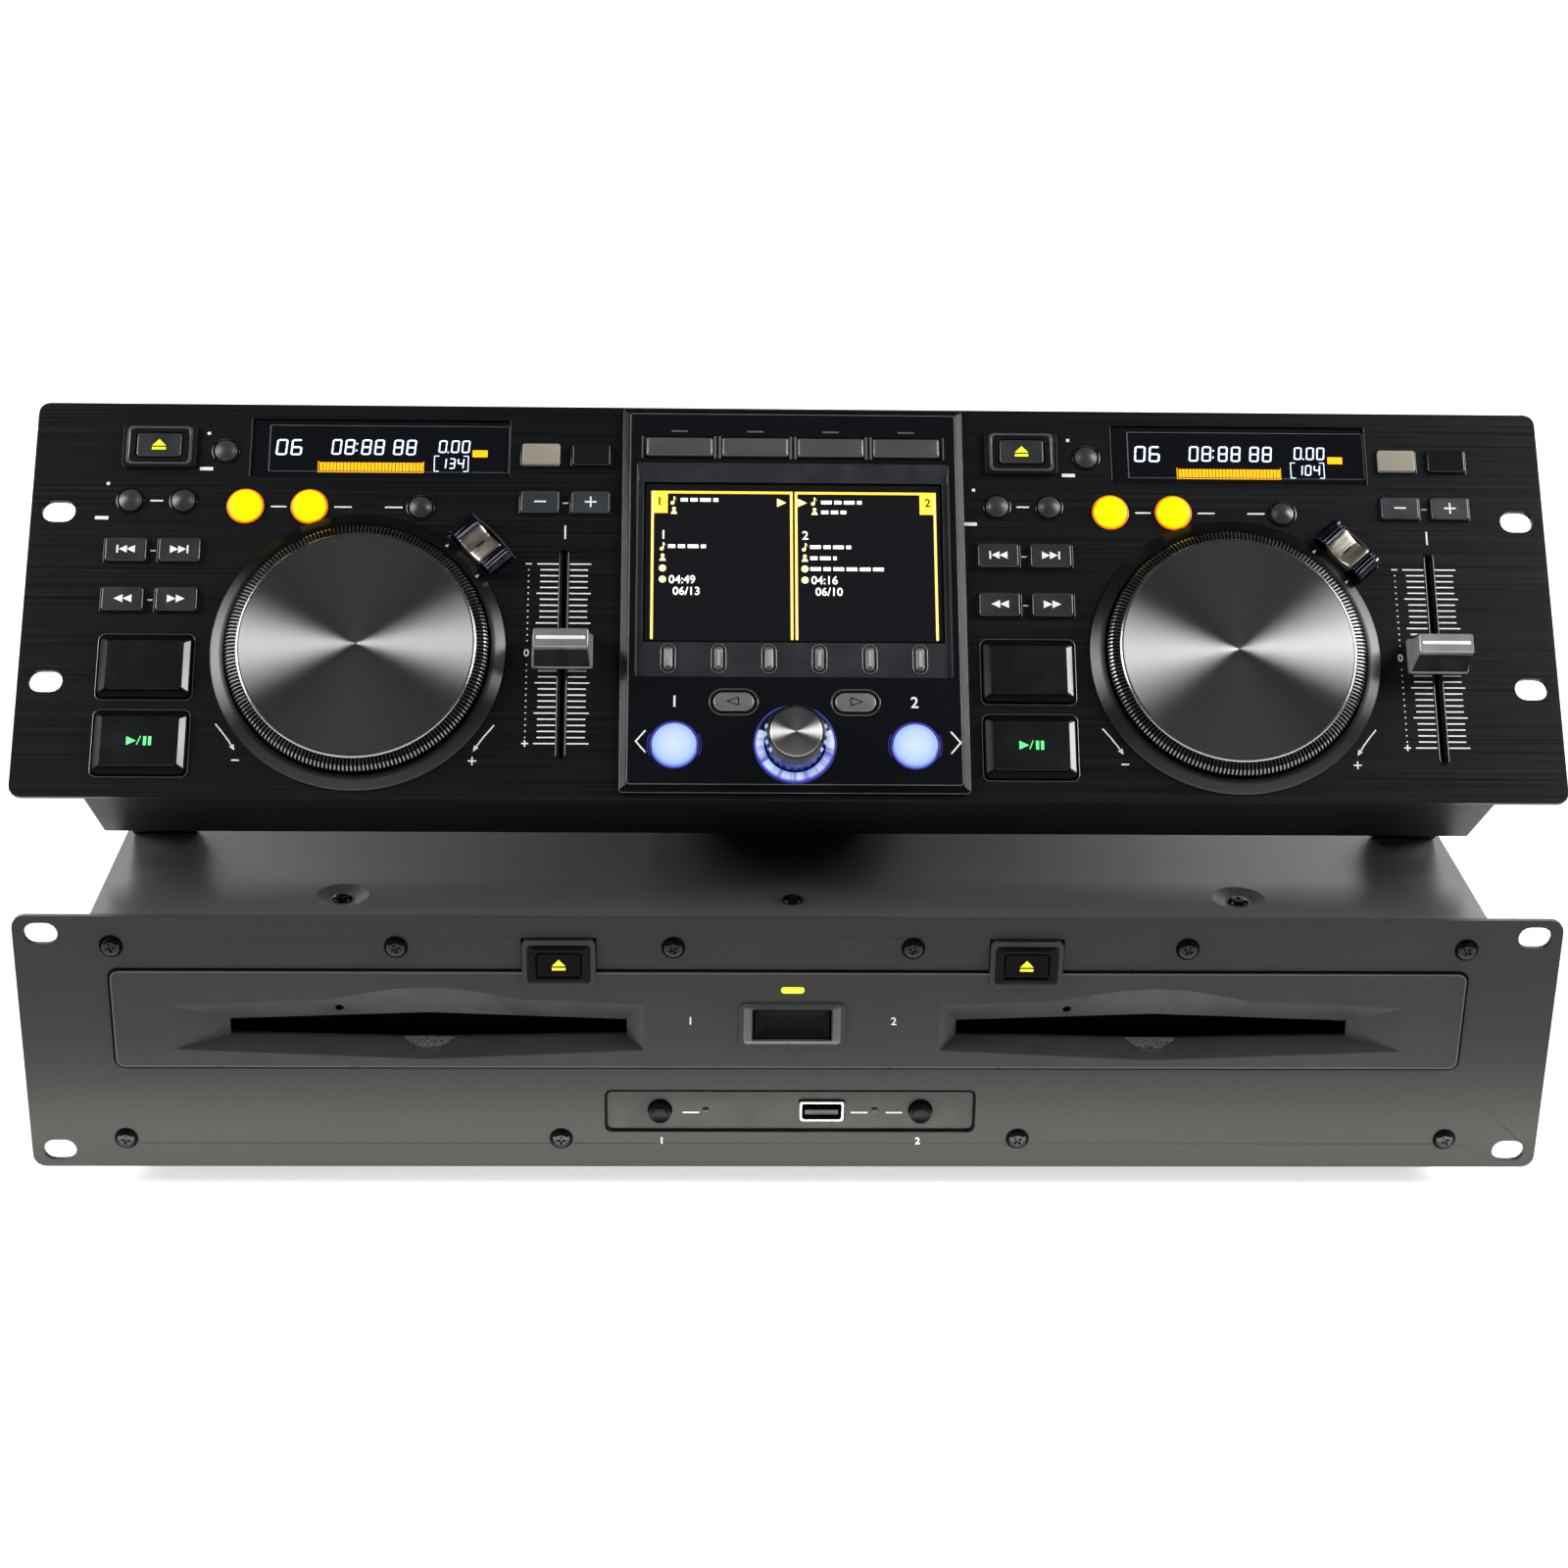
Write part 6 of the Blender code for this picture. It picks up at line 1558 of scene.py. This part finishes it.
def floor():
    reach, front = 6.0, -1.35
    mesh = bpy.data.meshes.new("floor")
    mesh.from_pydata([(-reach, front, 0), (reach, front, 0), (reach, reach, 0), (-reach, reach, 0)],
                     [], [(0, 1, 2, 3)])
    obj = bpy.data.objects.new("floor", mesh)
    bpy.context.scene.collection.objects.link(obj)
    look = Look("floor_white", (0.86, 0.86, 0.86), 0.9, Emission_Color=(1, 1, 1, 1))
    rays = look.nodes.new("ShaderNodeLightPath").outputs
    seen = combined(look, "ADD", rays["Is Camera Ray"], rays["Is Glossy Ray"], True)
    seen = combined(look, "ADD", seen, rays["Is Transmission Ray"], True)
    white = look.ramp(look.middle_distance(), floor_lift, 1.0, 0.45, 1.3)
    look.link(combined(look, "MULTIPLY", seen, white), look.shader.inputs["Emission Strength"])
    mesh.materials.append(look.done())


def world():
    """A dim blue light, with a white backdrop for the camera and, low behind, for mirrored rays."""
    made = bpy.data.worlds.new("studio")
    bpy.context.scene.world = made
    made.use_nodes = True
    tree = made.node_tree
    nodes, links = tree.nodes, tree.links
    nodes.clear()
    output, mix = nodes.new("ShaderNodeOutputWorld"), nodes.new("ShaderNodeMixShader")
    lit_by, seen = nodes.new("ShaderNodeBackground"), nodes.new("ShaderNodeBackground")
    lit_by.inputs["Color"].default_value = (0.84, 0.95, 1, 1)
    lit_by.inputs["Strength"].default_value = 0.065
    seen.inputs["Color"].default_value = (1, 1, 1, 1)
    way, split = nodes.new("ShaderNodeTexCoord"), nodes.new("ShaderNodeSeparateXYZ")
    links.new(way.outputs["Generated"], split.inputs["Vector"])
    shares = []
    for axis, start, end in (("Z", 0.22, 0.12), ("Y", -0.1, 0.1)):
        share = nodes.new("ShaderNodeMapRange")
        share.inputs["From Min"].default_value, share.inputs["From Max"].default_value = start, end
        links.new(split.outputs[axis], share.inputs["Value"])
        shares.append(share.outputs["Result"])
    rays = nodes.new("ShaderNodeLightPath").outputs
    mirrored = combined(tree, "ADD", rays["Is Glossy Ray"], rays["Is Transmission Ray"])
    mirrored = combined(tree, "MULTIPLY", mirrored, combined(tree, "MULTIPLY", *shares))
    links.new(combined(tree, "MAXIMUM", mirrored, rays["Is Camera Ray"]), mix.inputs["Fac"])
    links.new(lit_by.outputs[0], mix.inputs[1])
    links.new(seen.outputs[0], mix.inputs[2])
    links.new(mix.outputs[0], output.inputs["Surface"])


def lamp(name, place, target, size, power):
    data = bpy.data.lights.new(name, "AREA")
    data.shape, data.size, data.size_y, data.energy = "RECTANGLE", size[0], size[1], power
    obj = bpy.data.objects.new(name, data)
    bpy.context.scene.collection.objects.link(obj)
    way = Vector(target) - Vector(place)
    obj.matrix_world = Matrix.Translation(Vector(place)) @ way.to_track_quat("-Z", "Y").to_matrix().to_4x4()
    return obj


def lamps():
    middle = (0, -0.1, 0.15)
    lamp("left_box", (-1.1, -0.26, 0.75), middle, (0.7, 0.7), 16)
    lamp("right_box", (1.1, -0.22, 0.85), middle, (0.7, 0.7), 20)
    for name, side in (("left", -1), ("right", 1)):
        lamp(name + "_back", (side * 0.8, 1.2, 0.9), middle, (0.8, 0.6), 8)
    table = lamp("table_bounce", (0, -0.178, 0.008), (0, -0.15, 0.014), (0.56, 0.014), 0.155)
    table.data.color = (1, 0.95, 0.88)
    table.visible_camera = False


# The camera that was fitted to the drive panel: where the panel is as it sees it.
camera_lens = 65.752
camera_turns = (-0.26552, 1.74137, 22.54447)
camera_place = (2.40905, -82.47244, -904.93775)


def camera():
    data = bpy.data.cameras.new("camera")
    data.sensor_width, data.lens = 36, camera_lens
    obj = bpy.data.objects.new("camera", data)
    bpy.context.scene.collection.objects.link(obj)
    turn = Matrix.Identity(4)
    for degrees, axis in zip(camera_turns, "ZYX"):
        turn = turn @ Matrix.Rotation(radians(degrees), 4, axis)
    seen = Matrix.Translation(Vector(camera_place) * mm) @ turn
    obj.matrix_world = drive @ seen.inverted()
    data.clip_end = 50
    bpy.context.scene.camera = obj


def main():
    dress_nodes()
    decks()
    console()
    drive_unit()
    floor()
    world()
    lamps()
    camera()
    bpy.context.scene.view_settings.view_transform = "Standard"


main()
